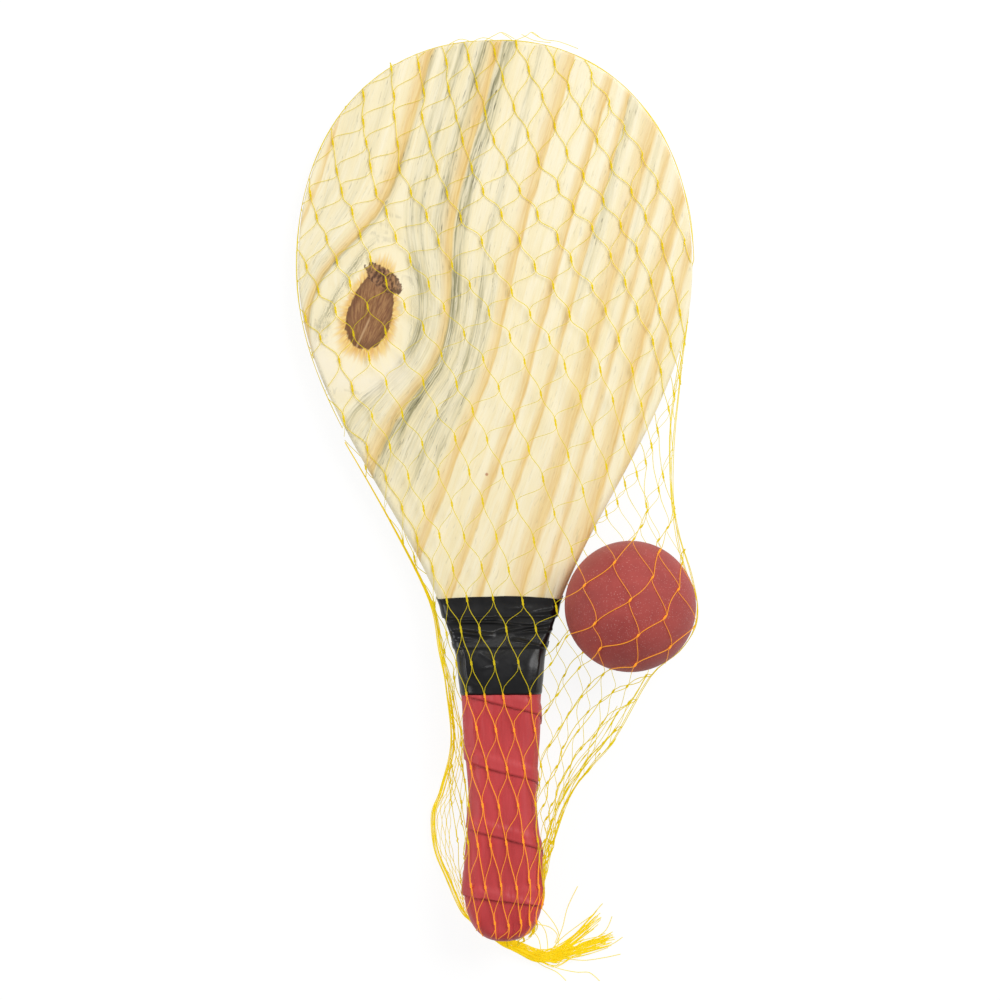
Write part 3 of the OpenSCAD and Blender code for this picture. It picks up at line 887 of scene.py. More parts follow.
@dataclass(frozen=True)
class StrandFinish(Finish):
    """Twisted yellow plastic strand, partly clear so that what lies behind tints it."""

    name: str = "yellow_net_strand"
    clear: float = 0.5
    # Strength of a painted glow: emission that brightens the strands though they are no lamp
    glow: float = 0.42
    # Orange painted in where red light from the ball and the grip shines through the strands
    painted_red_light: str = "FAB83A"
    ball: Place = (54.5, -40.1)
    ball_reach: float = 27.5
    waist_half: float = 13.6
    waist_place: float = -121.0
    waist_curve: float = 0.0018

    def dress(self, wiring: Wiring, shader: bpy.types.Node) -> None:
        """Wire drift of colour, fine fibres, a painted glow and a painted warm tint where red light shows
        through.

        Args:
            wiring: the material's tree.
            shader: its main shader.
        """
        place = wiring.object_mm()
        mottle = Effect.MOTTLE.lay(wiring, place, size=7.0)
        fibres = wiring.noise(wiring.mapping(place, (3.0, 1.2, 3.0)), 1.0, 2.0)
        tint = self.over_red(wiring, place)
        # Painted red light: the strands turn orange over the ball and the grip
        colour = wiring.blend(tint, wiring.blend(mottle, "F1E018", "F7EA30"), self.painted_red_light)
        inputs = {
            "Base Color": colour,
            # Painted glow: the strands emit their own colour, more strongly over the ball and the grip
            "Emission Color": colour,
            "Emission Strength": tint * 0.2 + self.glow,
            "Roughness": fibres.fade(0.3, 0.7, 0.3, 0.48),
            "Normal": wiring.bump(fibres, 0.00004, 0.5),
        }
        wiring.feed(shader, inputs)

    def over_red(self, wiring: Wiring, place: Value) -> Value:
        """Mask the strands over the ball and along the grip, where a painted warm tint and a stronger painted
        glow stand in for red light shining through.

        Args:
            wiring: the material's tree.
            place: Object coordinates in millimetres.

        Returns:
            The mask.
        """
        x, y, _ = wiring.split(place)
        far = wiring.length(x - self.ball[0], y - self.ball[1])
        ball = far.fade(self.ball_reach + 1, self.ball_reach - 1)
        from_waist = y - self.waist_place
        half = from_waist * from_waist * self.waist_curve
        half = half + y.fade(-165.0, -180.0, self.waist_half, self.waist_half - 10)
        grip = (half - abs(x)).fade(-0.8, 0.8) * y.fade(-75.0, -77.0) * y.fade(-180.5, -178.0)
        return ball.math("MAXIMUM", grip)

    def surface(self, wiring: Wiring, shader: bpy.types.Node) -> bpy.types.NodeSocket:
        """Let some light pass straight through, and some shine through from behind.

        Args:
            wiring: the material's tree.
            shader: its main shader.

        Returns:
            The socket.
        """
        tint = self.over_red(wiring, wiring.object_mm())
        # The translucent colour also turns orange over red, a painted tint of red light
        glow = wiring.node("ShaderNodeBsdfTranslucent", {"Color": wiring.blend(tint, "F6E832", self.painted_red_light)})
        clear = tint * (-0.4 * self.clear) + self.clear
        body = wiring.node("ShaderNodeMixShader", {0: 0.45, 1: shader.outputs[0], 2: glow.outputs[0]})
        through = wiring.node("ShaderNodeBsdfTransparent", {"Color": "E9DF58"})
        inputs = {0: clear, 1: body.outputs[0], 2: through.outputs[0]}
        return wiring.node("ShaderNodeMixShader", inputs).outputs[0]


def finish_mesh(mesh: bmesh.types.BMesh, name: str, smooth: bool = True) -> bpy.types.Object:
    """Turn a bmesh into an object at the origin.

    Args:
        mesh: the shape, in the frame's own metres.
        name: the piece's name.
        smooth: shade it smooth.

    Returns:
        The new object.
    """
    data = bpy.data.meshes.new(name)
    for face in mesh.faces:
        face.smooth = smooth
    mesh.to_mesh(data)
    mesh.free()
    made = bpy.data.objects.new(name, data)
    bpy.context.scene.collection.objects.link(made)
    return made


def grid_skin(columns: int, rows: int, place: Callable[[float, float], Sequence[float]]) -> bmesh.types.BMesh:
    """Lay a grid over a surface and close its seams.

    Args:
        columns: steps in the first direction.
        rows: steps in the second.
        place: the point at two shares from 0 to 1.

    Returns:
        The skin, with its doubles merged and its normals outward.
    """
    mesh = bmesh.new()
    bmesh.ops.create_grid(mesh, x_segments=columns, y_segments=rows, size=0.5)
    for vert in mesh.verts:
        vert.co = place(vert.co.x + 0.5, vert.co.y + 0.5)
    bmesh.ops.remove_doubles(mesh, verts=mesh.verts, dist=1e-6)
    bmesh.ops.recalc_face_normals(mesh, faces=mesh.faces)
    return mesh


def tubes(name: str, strands: Sequence[Strand], sides: int = 6) -> bpy.types.Object:
    """Make round strands along paths.

    Args:
        name: the piece's name.
        strands: each strand's points with the radius there, in metres.
        sides: faces round a strand.

    Returns:
        One mesh object with all the strands.
    """
    curve = bpy.data.curves.new(name, "CURVE")
    curve.dimensions = "3D"
    curve.bevel_depth = 1.0
    curve.bevel_resolution = max((sides - 4) // 2, 0)
    curve.use_fill_caps = True
    for points in strands:
        spline = curve.splines.new("POLY")
        spline.points.add(len(points) - 1)
        spline.points.foreach_set("co", [c for p in points for c in (p[0], p[1], p[2], 1.0)])
        spline.points.foreach_set("radius", [p[3] for p in points])
    holder = bpy.data.objects.new(name + "_path", curve)
    bpy.context.scene.collection.objects.link(holder)
    graph = bpy.context.evaluated_depsgraph_get()
    data = bpy.data.meshes.new_from_object(holder.evaluated_get(graph))
    bpy.data.objects.remove(holder)
    bpy.data.curves.remove(curve)
    data.name = name
    data.polygons.foreach_set("use_smooth", [True] * len(data.polygons))
    made = bpy.data.objects.new(name, data)
    bpy.context.scene.collection.objects.link(made)
    return made


def to_strand(points: Sequence[Sequence[float]], radius: float, steps: int = 6) -> Strand:
    """Run a strand of even thickness smoothly through points in millimetres.

    Args:
        points: the points to pass, in millimetres.
        radius: the strand's radius, in metres.
        steps: steps from each point to the next.

    Returns:
        The strand in metres.
    """
    return [(x * MM, y * MM, z * MM, radius) for x, y, z in smooth_path(points, steps)]


def smooth_path(points: Sequence[Sequence[float]], steps: int) -> list[tuple[float, ...]]:
    """Run a smooth curve through points.

    Args:
        points: the points to pass.
        steps: steps from each to the next.

    Returns:
        The curve's points, with the last one.
    """
    path = []
    last = len(points) - 1
    for i in range(last):
        a, b, c, d = (np.array(points[max(min(k, last), 0)], float) for k in (i - 1, i, i + 1, i + 2))
        for k in range(steps):
            s = k / steps
            square, cube = 2 * a - 5 * b + 4 * c - d, 3 * b - a - 3 * c + d
            path.append(tuple((2 * b + s * (c - a) + s * s * square + s**3 * cube) / 2))
    path.append(tuple(float(v) for v in points[last]))
    return path


@dataclass(frozen=True)
class BatForm:
    """Form of the wood, in metres, with places measured from the blade's tip."""

    blade_width: float = 166.8 * MM
    blade_top: float = 97 * MM
    board: float = 10 * MM
    neck_place: float = 285 * MM
    neck_width: float = 31.2 * MM
    waist_place: float = 321 * MM
    waist_width: float = 27 * MM
    flare_place: float = 355 * MM
    flare_width: float = 32 * MM
    core: float = 379.15 * MM
    cheek_place: float = 244 * MM
    cheek_ramp: float = 22 * MM
    cheek_nose: float = 0.8 * MM
    handle: float = 24 * MM
    handle_corner: float = 6.5 * MM
    butt_round: float = 4 * MM
    blade_round: float = 1.2 * MM
    throat_round: float = 3.3 * MM
    tape_place: float = 235.5 * MM
    blade_power: float = 2.2
    butt_power: float = 2.5
    cheek_edge: float = 0.3 * MM
    least_corner: float = 0.5 * MM
    tilt: float = math.radians(1.8663)
    tip: Point = (0.0, 0.1998, 0.00559735)

    def half_width(self, t: float) -> float:
        """Find the half width of the wood.

        Args:
            t: distance from the tip.

        Returns:
            The half width.
        """
        if t < self.blade_top:
            return self.blade_width / 2 * squircle((self.blade_top - t) / self.blade_top, self.blade_power)
        spans = (
            (self.blade_top, self.blade_width, self.neck_place, self.neck_width),
            (self.neck_place, self.neck_width, self.waist_place, self.waist_width),
            (self.waist_place, self.waist_width, self.flare_place, self.flare_width),
        )
        for start, first, end, second in spans:
            if t < end:
                return mix(first, second, ease((t - start) / (end - start))) / 2
        share = (t - self.flare_place) / (self.core - self.flare_place)
        return self.flare_width / 2 * squircle(share, self.butt_power)

    def half_height(self, t: float) -> float:
        """Find the half thickness of the wood with its cheeks.

        Args:
            t: distance from the tip.

        Returns:
            The half thickness.
        """
        if t < self.cheek_place:
            return self.board / 2
        climb = ease((t - self.cheek_place) / self.cheek_ramp)
        ramp = mix(self.board / 2 + self.cheek_nose, self.handle / 2, climb)
        return ramp - self.butt_round * (1 - squircle((t - self.core + self.butt_round) / self.butt_round, 2))

    def edge_round(self, t: float) -> float:
        """Find the round-over of the board's edge.

        Args:
            t: distance from the tip.

        Returns:
            Its radius.
        """
        share = (t - self.blade_top) / (self.tape_place - self.blade_top)
        return mix(self.blade_round, self.throat_round, ease(share))

    def corner(self, t: float) -> float:
        """Find the corner radius of the section.

        Args:
            t: distance from the tip.

        Returns:
            The radius.
        """
        if t < self.cheek_place:
            return self.edge_round(t)
        high = max(self.half_height(t) - self.board / 2 - self.cheek_edge, self.least_corner)
        return min(self.handle_corner, high, self.half_width(t))

    def section(self, t: float, share: float, grow: float) -> Point:
        """Point on the section round the wood, in the bat's own axes.

        Args:
            t: distance from the tip.
            share: share of a turn, from the middle of the back over the left side to the front.
            grow: how far outside the wood.

        Returns:
            The point, with Y running from the tip towards the blade's top.
        """
        share %= 1.0
        mirror = share > 0.5
        s = 1 - share if mirror else share
        r = self.corner(t)
        flat_x = self.half_width(t) - r
        flat_z = self.half_height(t) - r
        arc = math.pi / 2 * (r + grow)
        lengths = (flat_x, arc, 2 * flat_z, arc, flat_x)
        run = s * 2 * sum(lengths)
        if run <= lengths[0]:
            x, z = -run, -(flat_z + r + grow)
        elif run <= lengths[0] + arc:
            angle = (run - lengths[0]) / (r + grow)
            x, z = -flat_x - (r + grow) * math.sin(angle), -flat_z - (r + grow) * math.cos(angle)
        elif run <= lengths[0] + arc + lengths[2]:
            x, z = -(flat_x + r + grow), -flat_z + run - lengths[0] - arc
        elif run <= lengths[0] + 2 * arc + lengths[2]:
            angle = (run - lengths[0] - arc - lengths[2]) / (r + grow)
            x, z = -flat_x - (r + grow) * math.cos(angle), flat_z + (r + grow) * math.sin(angle)
        else:
            x, z = -max(2 * sum(lengths) * 0.5 - run, 0.0), flat_z + r + grow
        push = (max(t - self.flare_place, 0) / (self.core - self.flare_place)) ** 3
        return (-x if mirror else x, -t - grow * push, z)

    def pose(self) -> Matrix:
        """Lay the bat down on its tip and its grip.

        Returns:
            The matrix that does it.
        """
        return Matrix.Translation(self.tip) @ Matrix.Rotation(-self.tilt, 4, "X")

    def top(self, x: float, y: float, blade_gap: float, handle_gap: float) -> float | None:
        """Height of the bat's upper face under a point of the plan.

        Args:
            x: place across the bat.
            y: place along it.
            blade_gap: clearance over the bare board.
            handle_gap: clearance over the tapes.

        Returns:
            The height, or None beside the bat.
        """
        t = (self.tip[1] - y) / math.cos(self.tilt)
        if not 0 <= t <= self.core:
            return None
        gap = blade_gap if t < self.tape_place else handle_gap
        r = self.corner(t)
        flat = max(self.half_width(t) - r, 0.0)
        out = abs(x) - flat
        if out > r + gap:
            return None
        rise = self.half_height(t) - r + math.sqrt(max((r + gap) ** 2 - max(out, 0) ** 2, 0.0))
        return self.tip[2] + t * math.sin(self.tilt) + rise

    def under(self, x: float, y: float, gap: float) -> float | None:
        """Find the bat's lower face over a point of the plan.

        Args:
            x: place across the bat.
            y: place along it.
            gap: clearance under the wood.

        Returns:
            The height, or None beside the bat.
        """
        t = (self.tip[1] - y) / math.cos(self.tilt)
        if not 0 <= t <= self.core or abs(x) > self.half_width(t):
            return None
        return self.tip[2] + t * math.sin(self.tilt) - self.half_height(t) - gap


@dataclass
class Board:
    """The pine plank of the blade, the throat and the handle's middle."""

    form: BatForm
    finish: PineFinish = field(default_factory=PineFinish)
    around: int = 260
    edge_steps: int = 12

    def station(self, share: float) -> float:
        """Space the outline's points along one side, closer at both round ends.

        Args:
            share: share of the side.

        Returns:
            The distance from the tip.
        """
        form = self.form
        if share < 0.36:
            return form.blade_top * (1 - math.cos(math.pi / 2 * share / 0.36))
        if share < 0.86:
            return mix(form.blade_top, form.flare_place, (share - 0.36) / 0.5)
        return mix(form.flare_place, form.core, math.sin(math.pi / 2 * (share - 0.86) / 0.14))

    def rim(self, u: float, v: float) -> Point:
        """Place a point of the plank's edge.

        Args:
            u: share of the way round the outline.
            v: share of the way over the edge, from the back to the front.

        Returns:
            The point, in the bat's own axes.
        """
        form = self.form
        side = 1 if u <= 0.5 else -1
        t = self.station(2 * u if side > 0 else 2 * (1 - u))
        step = 0.2 * MM
        low, high = max(t - step, 0), min(t + step, form.core)
        slope = (form.half_width(high) - form.half_width(low)) / (high - low)
        r = form.edge_round(t) if t < form.cheek_place else form.cheek_edge
        angle = math.pi * (v - 0.5)
        lift = math.copysign(max(abs(math.sin(angle)), 0.0), angle)
        inward = r * (1 - math.cos(angle))
        k = math.hypot(1, slope)
        x = max(form.half_width(t) - inward / k, 0.0)
        z = lift * r + math.copysign(form.board / 2 - r, angle) if abs(angle) > 1e-6 else 0.0
        return (side * x, -t - inward * slope / k, z)

    def build(self) -> bpy.types.Object:
        """Build and dress the plank.

        Returns:
            The plank.
        """
        mesh = grid_skin(self.around, self.edge_steps, self.rim)
        open_edges = [e for e in mesh.edges if e.is_boundary]
        faces = bmesh.ops.edgeloop_fill(mesh, edges=open_edges)["faces"]
        bmesh.ops.recalc_face_normals(mesh, faces=mesh.faces)
        bmesh.ops.inset_region(mesh, faces=faces, thickness=0.6 * MM, use_even_offset=True)
        mesh.transform(self.form.pose())
        made = finish_mesh(mesh, "plank")
        self.finish.put_on(made)
        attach(made, "bat")
        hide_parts("blade_board")
        return made


@dataclass(frozen=True)
class Crease:
    """One raised fold of the tape, along a line on the handle's front. Lengths are in millimetres."""

    start: Place
    end: Place
    width: float
    height: float

    def rise(self, x: float, t: float) -> float:
        """Find the fold's height at a place of the front.

        Args:
            x: place across the bat.
            t: distance from the tip.

        Returns:
            The height in millimetres.
        """
        ax, at = self.start
        bx, bt = self.end
        length = math.hypot(bx - ax, bt - at)
        dx, dt = (bx - ax) / length, (bt - at) / length
        s = ((x - ax) * dx + (t - at) * dt) / length
        if not 0 < s < 1:
            return 0.0
        off = (t - at) * dx - (x - ax) * dt
        off += 0.35 * self.width * math.sin(5 * s + self.width)
        return self.height * math.sin(math.pi * s) ** 0.7 * math.exp(-((off / self.width) ** 2))


@dataclass
class ThroatTape:
    """Two laps of black tape round the throat."""

    form: BatForm
    finish: TapeFinish = field(default_factory=TapeFinish)
    thickness: float = 0.4 * MM
    around: int = 200
    rows: int = 150
    bow_right: float = 1.9 * MM
    bow_left: float = 0.9 * MM
    edge_wave: float = 0.2 * MM
    skin_wave: float = 0.05 * MM
    bed: float = 0.05 * MM
    inner_share: float = 0.8
    # Distances from the tip where each lap starts and ends
    upper_lap: Place = (235.5 * MM, 256.8 * MM)
    lower_lap: Place = (254.6 * MM, 276 * MM)
    cheek_climb: float = 0.8 * MM
    wrap_outside: float = 0.9 * MM
    creases: tuple[Crease, ...] = (
        Crease((-22, 246.6), (1, 245.8), 0.7, 1.1),
        Crease((-20, 250.6), (-2, 251.6), 0.9, 1.2),
        Crease((-3, 251.4), (22, 246.2), 0.75, 1.1),
        Crease((-6, 246.4), (14, 248.2), 0.6, 0.8),
        Crease((4, 253.4), (17, 256.8), 0.6, 0.9),
        Crease((6, 251.6), (23, 249.4), 0.7, 0.9),
        Crease((11, 243.8), (24, 240.4), 0.8, 0.6),
        Crease((-21, 254.2), (-11, 253.4), 0.7, 0.35),
        Crease((2, 241.6), (13, 239.8), 0.8, 0.25),
        Crease((-9, 259.4), (-1, 263.6), 0.8, 0.35),
        Crease((-8, 266.4), (-2, 264.4), 0.6, 0.35),
        Crease((5, 264.2), (8, 266.8), 0.8, 0.35),
        Crease((-14, 269.6), (-9, 273.2), 0.8, 0.3),
        # Ridges down both sides of the handle's front
        Crease((-15.2, 256.6), (-11.8, 272.5), 0.9, 0.7),
        Crease((16.0, 257.4), (13.6, 275.0), 0.8, 0.45),
    )

    def lap(
        self, name: str, start: float, end: float, grow: Callable[[float], float]
    ) -> bpy.types.Object:
        """Build one lap.

        Args:
            name: the piece's name.
            start: distance from the tip to its upper edge.
            end: distance to its lower edge.
            grow: distance of its outer face from the wood, at a distance from the tip.

        Returns:
            The lap.
        """
        form = self.form

        def place(u: float, v: float) -> Point:
            """Place a point of the lap.

            Args:
                u: share of the way round.
                v: share of the way down its face and back.

            Returns:
                The point, in the bat's own axes.
            """
            outer = v < 0.52
            s = min(v / 0.5, 1.0) if outer else max(1 - (v - 0.54) / 0.46, 0.0)
            flat = form.section(mix(start, end, s), u, 0.0)
            front = flat[2] > 0
            bow = self.bow_right if flat[0] > 0 else self.bow_left
            bow *= (1 - s) * (flat[0] / form.half_width(start)) ** 2 if front else 0.0
            t = mix(start, end, s) + bow + self.edge_wave * noise.noise(Vector((u * 14, s, start * 90)))
            if not outer:
                return form.section(t, u, grow(t) - self.thickness * self.inner_share)
            rise = sum(c.rise(flat[0] / MM, t / MM) for c in self.creases) * MM if front else 0.0
            rise += self.skin_wave * noise.noise(Vector((flat[0] * 60, t * 80, flat[2] * 60)))
            rise *= min(s, 1 - s, 0.04) / 0.04
            return form.section(t, u, grow(t) + rise)

        mesh = grid_skin(self.around, self.rows, place)
        mesh.transform(form.pose())
        made = finish_mesh(mesh, name)
        self.finish.put_on(made)
        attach(made, "bat")
        return made

    def build(self) -> list[bpy.types.Object]:
        """Build and dress both laps.

        Returns:
            The upper and the lower lap.
        """
        first = self.bed + self.thickness
        over_first = 2 * first
        over_wrap = self.wrap_outside + self.thickness

        def upper(t: float) -> float:
            """Lift the upper lap off the wood.

            Args:
                t: distance from the tip.

            Returns:
                How far.
            """
            climb = ease((t - 238 * MM) / (6 * MM)) * (t < 244.4 * MM)
            return first + self.cheek_climb * climb

        def lower(t: float) -> float:
            """Lift the lower lap off the wood.

            Args:
                t: distance from the tip.

            Returns:
                How far.
            """
            down = ease((t - 256.8 * MM) / (1.2 * MM))
            return mix(mix(over_first, first, down), over_wrap, ease((t - 259 * MM) / (12 * MM)))

        top = self.lap("throat_tape_over_blade", *self.upper_lap, upper)
        low = self.lap("throat_tape_over_grip", *self.lower_lap, lower)
        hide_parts("throat_tape_upper")
        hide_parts("throat_tape_lower")
        return [top, low]


@dataclass
class GripTape:
    """Red tape wound down the handle, each turn over the next, and the patch on the butt."""

    form: BatForm
    finish: GripFinish = field(default_factory=GripFinish)
    pitch: float = 28 * MM
    start: float = 272 * MM
    end: float = 363 * MM
    patch_start: float = 359 * MM
    bed: float = 0.05 * MM
    thickness: float = 0.8 * MM
    ridge: float = 0.55 * MM
    turns: int = 7
    under_tape: float = 4.9 * MM
    patch_rise: float = 0.5 * MM
    broad_fold: float = 0.22 * MM
    fine_fold: float = 0.12 * MM
    edge_wave: float = 0.5 * MM
    patch_wave: float = 0.1 * MM
    pleat_depth: float = 0.5 * MM
    butt_crown: float = 0.5 * MM

    def winding(self) -> bpy.types.Object:
        """Wind the strip round the handle and trim both its ends.

        Returns:
            The winding.
        """
        form = self.form
        origin = self.start - 2 * self.pitch - self.under_tape

        def place(u: float, v: float) -> Point:
            """Place a point of the strip.

            Args:
                u: share of the way round.
                v: share of the way across it.

            Returns:
                The point, in the bat's own axes.
            """
            turn = u * self.turns
            across = mix(-0.1, 1.0, v)
            t = origin + self.pitch * (turn + across)
            past = self.end + 3 * MM
            t = min(t, past) + 0.05 * max(t - past, 0.0)
            on_patch = self.patch_rise * ease((t - self.patch_start + 3 * MM) / (3 * MM))
            lift = ease((across - 0.78) / 0.07) * (self.ridge + 0.12 * MM * ease((across - 0.92) / 0.08))
            lift *= ease((t - self.start - 4 * MM) / (2.5 * MM))
            fold = self.broad_fold * noise.noise(Vector((turn * 16, t * 60, 3.0)))
            fold += self.fine_fold * noise.noise(Vector((turn * 42, t * 90, 8.0)))
            edge = self.edge_wave * noise.noise(Vector((turn * 5, 1.0, 5.0))) * ease((across - 0.8) / 0.2)
            grow = self.bed + self.thickness + on_patch + lift + fold * (1 - 0.6 * ease((across - 0.8) / 0.2))
            return form.section(t + edge, turn, grow)

        mesh = grid_skin(self.turns * 96, 30, place)
        middles = [(f.normal, f.calc_center_median()) for f in mesh.faces]
        outward = sum(normal.dot(Vector((middle.x, 0, middle.z))) for normal, middle in middles)
        if outward < 0:
            bmesh.ops.reverse_faces(mesh, faces=mesh.faces[:])
        for limit, across, side in ((self.start, 0.0, 1), (self.end, -0.14, -1)):
            geometry = mesh.verts[:] + mesh.edges[:] + mesh.faces[:]
            plane = {"plane_co": (0, -limit, 0), "plane_no": (across, side, 0)}
            bmesh.ops.bisect_plane(mesh, geom=geometry, clear_outer=True, **plane)
        rim = bmesh.ops.extrude_edge_only(mesh, edges=[e for e in mesh.edges if e.is_boundary])["geom"]
        for vert in rim:
            if isinstance(vert, bmesh.types.BMVert):
                inward = Vector((vert.co.x, 0, vert.co.z)).normalized()
                vert.co -= inward * (self.thickness * 0.75)
        mesh.transform(form.pose())
        made = finish_mesh(mesh, "grip_winding")
        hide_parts("grip_wrap")
        return made

    def patch(self) -> bpy.types.Object:
        """Fold the patch over the butt.

        Returns:
            The patch.
        """
        form = self.form
        grow = self.bed + self.thickness

        def place(u: float, v: float) -> Point:
            """Place a point of the patch.

            Args:
                u: share of the way round.
                v: share of the way to its middle.

            Returns:
                The point, in the bat's own axes.
            """
            t = mix(self.patch_start, form.core, math.sin(math.pi / 2 * min(v / 0.8, 1.0)))
            shrink = max((v - 0.8) / 0.2, 0.0)
            wave = self.patch_wave * noise.noise(Vector((u * 24, t * 70, 1.0)))
            x, y, z = form.section(t, u, grow + wave)
            pleat = math.exp(-(((x / MM) - 3.4) / 0.7) ** 2) * max(z, 0) / (8 * MM)
            pleat *= self.pleat_depth * ease((t - 368 * MM) / (9 * MM))
            end = self.butt_crown * math.sin(math.pi / 2 * shrink)
            return (x * (1 - shrink), y - end, z * (1 - shrink) - pleat)

        mesh = grid_skin(128, 44, place)
        mesh.transform(form.pose())
        made = finish_mesh(mesh, "butt_cover")
        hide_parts("butt_patch")
        return made

    def build(self) -> list[bpy.types.Object]:
        """Build and dress the winding and the patch.

        Returns:
            Both pieces.
        """
        made = [self.winding(), self.patch()]
        self.finish.put_on(*made)
        for piece in made:
            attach(piece, "bat")
        return made


@dataclass(frozen=True)
class BallPlace:
    """Where the ball lies, in metres."""

    x: float = 54.5455 * MM
    y: float = -40.1372 * MM
    z: float = 28.3 * MM
    radius: float = 27.5 * MM

    def face(self, x: float, y: float, gap: float, side: int) -> float | None:
        """Find the ball's surface over or under a point of the plan.

        Args:
            x: place across the bat.
            y: place along it.
            gap: clearance outside the ball.
            side: 1 for the upper half and -1 for the lower.

        Returns:
            The height, or None beside the ball.
        """
        square = (self.radius + gap) ** 2 - (x - self.x) ** 2 - (y - self.y) ** 2
        return None if square < 0 else self.z + side * math.sqrt(square)


class Zone(Enum):
    """Which part of the net a stretch of strand belongs to."""

    BAT = "net_on_bat"
    BALL = "net_over_ball"
    ABOVE_BALL = "net_above_ball"
    BELOW_BALL = "net_below_ball"
    UNDER = "net_underside"


@dataclass
class NetPlan:
    """Lie of the net seen from above: rows of knots across it, in millimetres."""

    # Strands that cross the rows, by number, and the rows, from the tip down
    strands: tuple[int, ...] = (-4, -1, 2, 5, 8, 11, 14)
    rows: tuple[int, ...] = (-6, -3, 1, 5, 9, 13, 17, 20, 24, 26, 28)
    knots: tuple[tuple[Place, ...], ...] = (
        ((-176, 227), (-140, 225.5), (-104, 222.5), (-69, 219), (-35.3, 221), (-13.8, 231), (10, 237)),
        (
            (-178, 191), (-141.5, 190.5), (-104.7, 189), (-67.9, 188), (-30.7, 189), (0.3, 195.6),
            (29.7, 205),
        ),
        (
            (-181, 144), (-143.4, 144), (-105.3, 144), (-66.4, 146.5), (-24.5, 146), (19.1, 148),
            (55.7, 161.7),
        ),
        (
            (-169, 100), (-130.9, 101.6), (-92.8, 103.3), (-52.1, 108), (-0.1, 103.7), (48.6, 108),
            (80.4, 113),
        ),
        ((-144.6, 58), (-106.5, 60), (-67.5, 64.4), (-23.5, 66.5), (29.4, 60.6), (69.1, 58), (88.4, 47.4)),
        ((-87.3, 9.4), (-64.4, 12.3), (-37.7, 15.7), (2.1, 17), (49.7, 3.9), (78.3, -11.8), (87, -24.5)),
        (
            (-49.5, -43.5), (-33.8, -39.7), (-13.9, -36.3), (23.3, -39.7), (70, -57.1),
            (94.9, -66.8), (105.3, -75.3),
        ),
        (
            (-32.3, -79.5), (-20.8, -77), (1.2, -76.1), (33.8, -78.2), (54.4, -88.8),
            (64.9, -96.4), (71.1, -100.7),
        ),
        (
            (-19.6, -137.9), (-5.2, -138.6), (14.6, -138.5), (20.2, -139.6), (25.3, -142.1), (29.1, -143.8),
            (32.4, -145.5),
        ),
        (
            (-17.5, -170.5), (2.0, -171.8), (13.4, -171.5), (15.6, -171), (17.4, -170.5),
            (19, -170), (20.6, -169.5),
        ),
        ((-8, -189), (0.5, -190), (6.5, -189.5), (8.5, -189), (10.5, -188), (12.5, -187), (14.5, -186)),
    )
    # Outline of the bag in plan with the height of its fold, from the tip down each side
    right_side: tuple[Point, ...] = (
        (83.3, 102.5, 9.0), (81.2, 77.1, 10.0), (78.0, 55.9, 11.5), (74.4, 30.5, 13.5), (74.0, 7.2, 16.0),
        (76.6, -11.8, 19.0), (80.2, -26.6, 23.0), (82.9, -39.7, 25.0), (81.5, -49.9, 24.0),
        (75.3, -59.7, 20.5),
        (63.1, -70.5, 16.0), (47.9, -96.4, 11.0), (37.2, -109.1, 9.0), (28.5, -121.8, 7.5),
        (21.9, -138.8, 6.5),
        (18.4, -151.5, 5.5), (15.6, -166.3, 4.6), (12.4, -180.0, 3.6),
    )
    left_side: tuple[Point, ...] = (
        (-64.6, 30.5, 10.5), (-46.0, -3.3, 7.0), (-29.6, -37.2, 3.2), (-25.6, -58.4, 2.8),
        (-22.9, -75.3, 2.8),
        (-21.1, -98.6, 2.8), (-25.6, -117.6, 2.8), (-29.5, -128.2, 2.8), (-28.5, -143.0, 2.8),
        (-23.6, -155.7, 2.8),
        (-17.8, -169.2, 2.8), (-13.3, -174.7, 2.8), (-4.9, -181.9, 3.0),
    )
    rim_gap: float = 0.9 * MM
    # Points along the blade's edge, steps from point to point below it, and the point beside the ball
    blade_points: int = 41
    side_steps: int = 4
    ball_place: int = 7

    def grid(self, shift: float) -> dict[Number, Place]:
        """Place every knot of the net.

        Args:
            shift: how far the knots move along the numbering, which sets the back off from the front.

        Returns:
            Plan places in metres by strand and row.
        """
        table = np.array(self.knots, float) * MM
        strand_numbers = np.arange(self.strands[0], self.strands[-1] + 1) + shift
        row_numbers = np.arange(self.rows[0], self.rows[-1] + 1) + shift
        rows, strands = np.array(self.rows), np.array(self.strands)
        by_row = np.stack([self.curve(rows, table[:, i], row_numbers) for i in range(len(strands))], 1)
        full = np.stack([self.curve(strands, row, strand_numbers) for row in by_row])
        return {
            (k, j): tuple(float(c) for c in full[j - self.rows[0], k - self.strands[0]])
            for k in range(self.strands[0], self.strands[-1] + 1)
            for j in range(self.rows[0], self.rows[-1] + 1)
        }

    @staticmethod
    def curve(places: np.ndarray, values: np.ndarray, wanted: np.ndarray) -> np.ndarray:
        """Run a smooth curve through values at uneven places, and read it at others.

        Args:
            places: where the values are known.
            values: the values there.
            wanted: where the curve is read.

        Returns:
            The values at the wanted places.
        """
        slopes = np.gradient(values, places, axis=0)
        wanted = np.clip(wanted, places[0], places[-1])
        i = np.clip(np.searchsorted(places, wanted, side="right") - 1, 0, len(places) - 2)
        h = (places[i + 1] - places[i])[:, None]
        s = ((wanted - places[i]) / (places[i + 1] - places[i]))[:, None]
        h00, h10 = 2 * s**3 - 3 * s**2 + 1, s**3 - 2 * s**2 + s
        h01, h11 = -2 * s**3 + 3 * s**2, s**3 - s**2
        return h00 * values[i] + h10 * h * slopes[i] + h01 * values[i + 1] + h11 * h * slopes[i + 1]

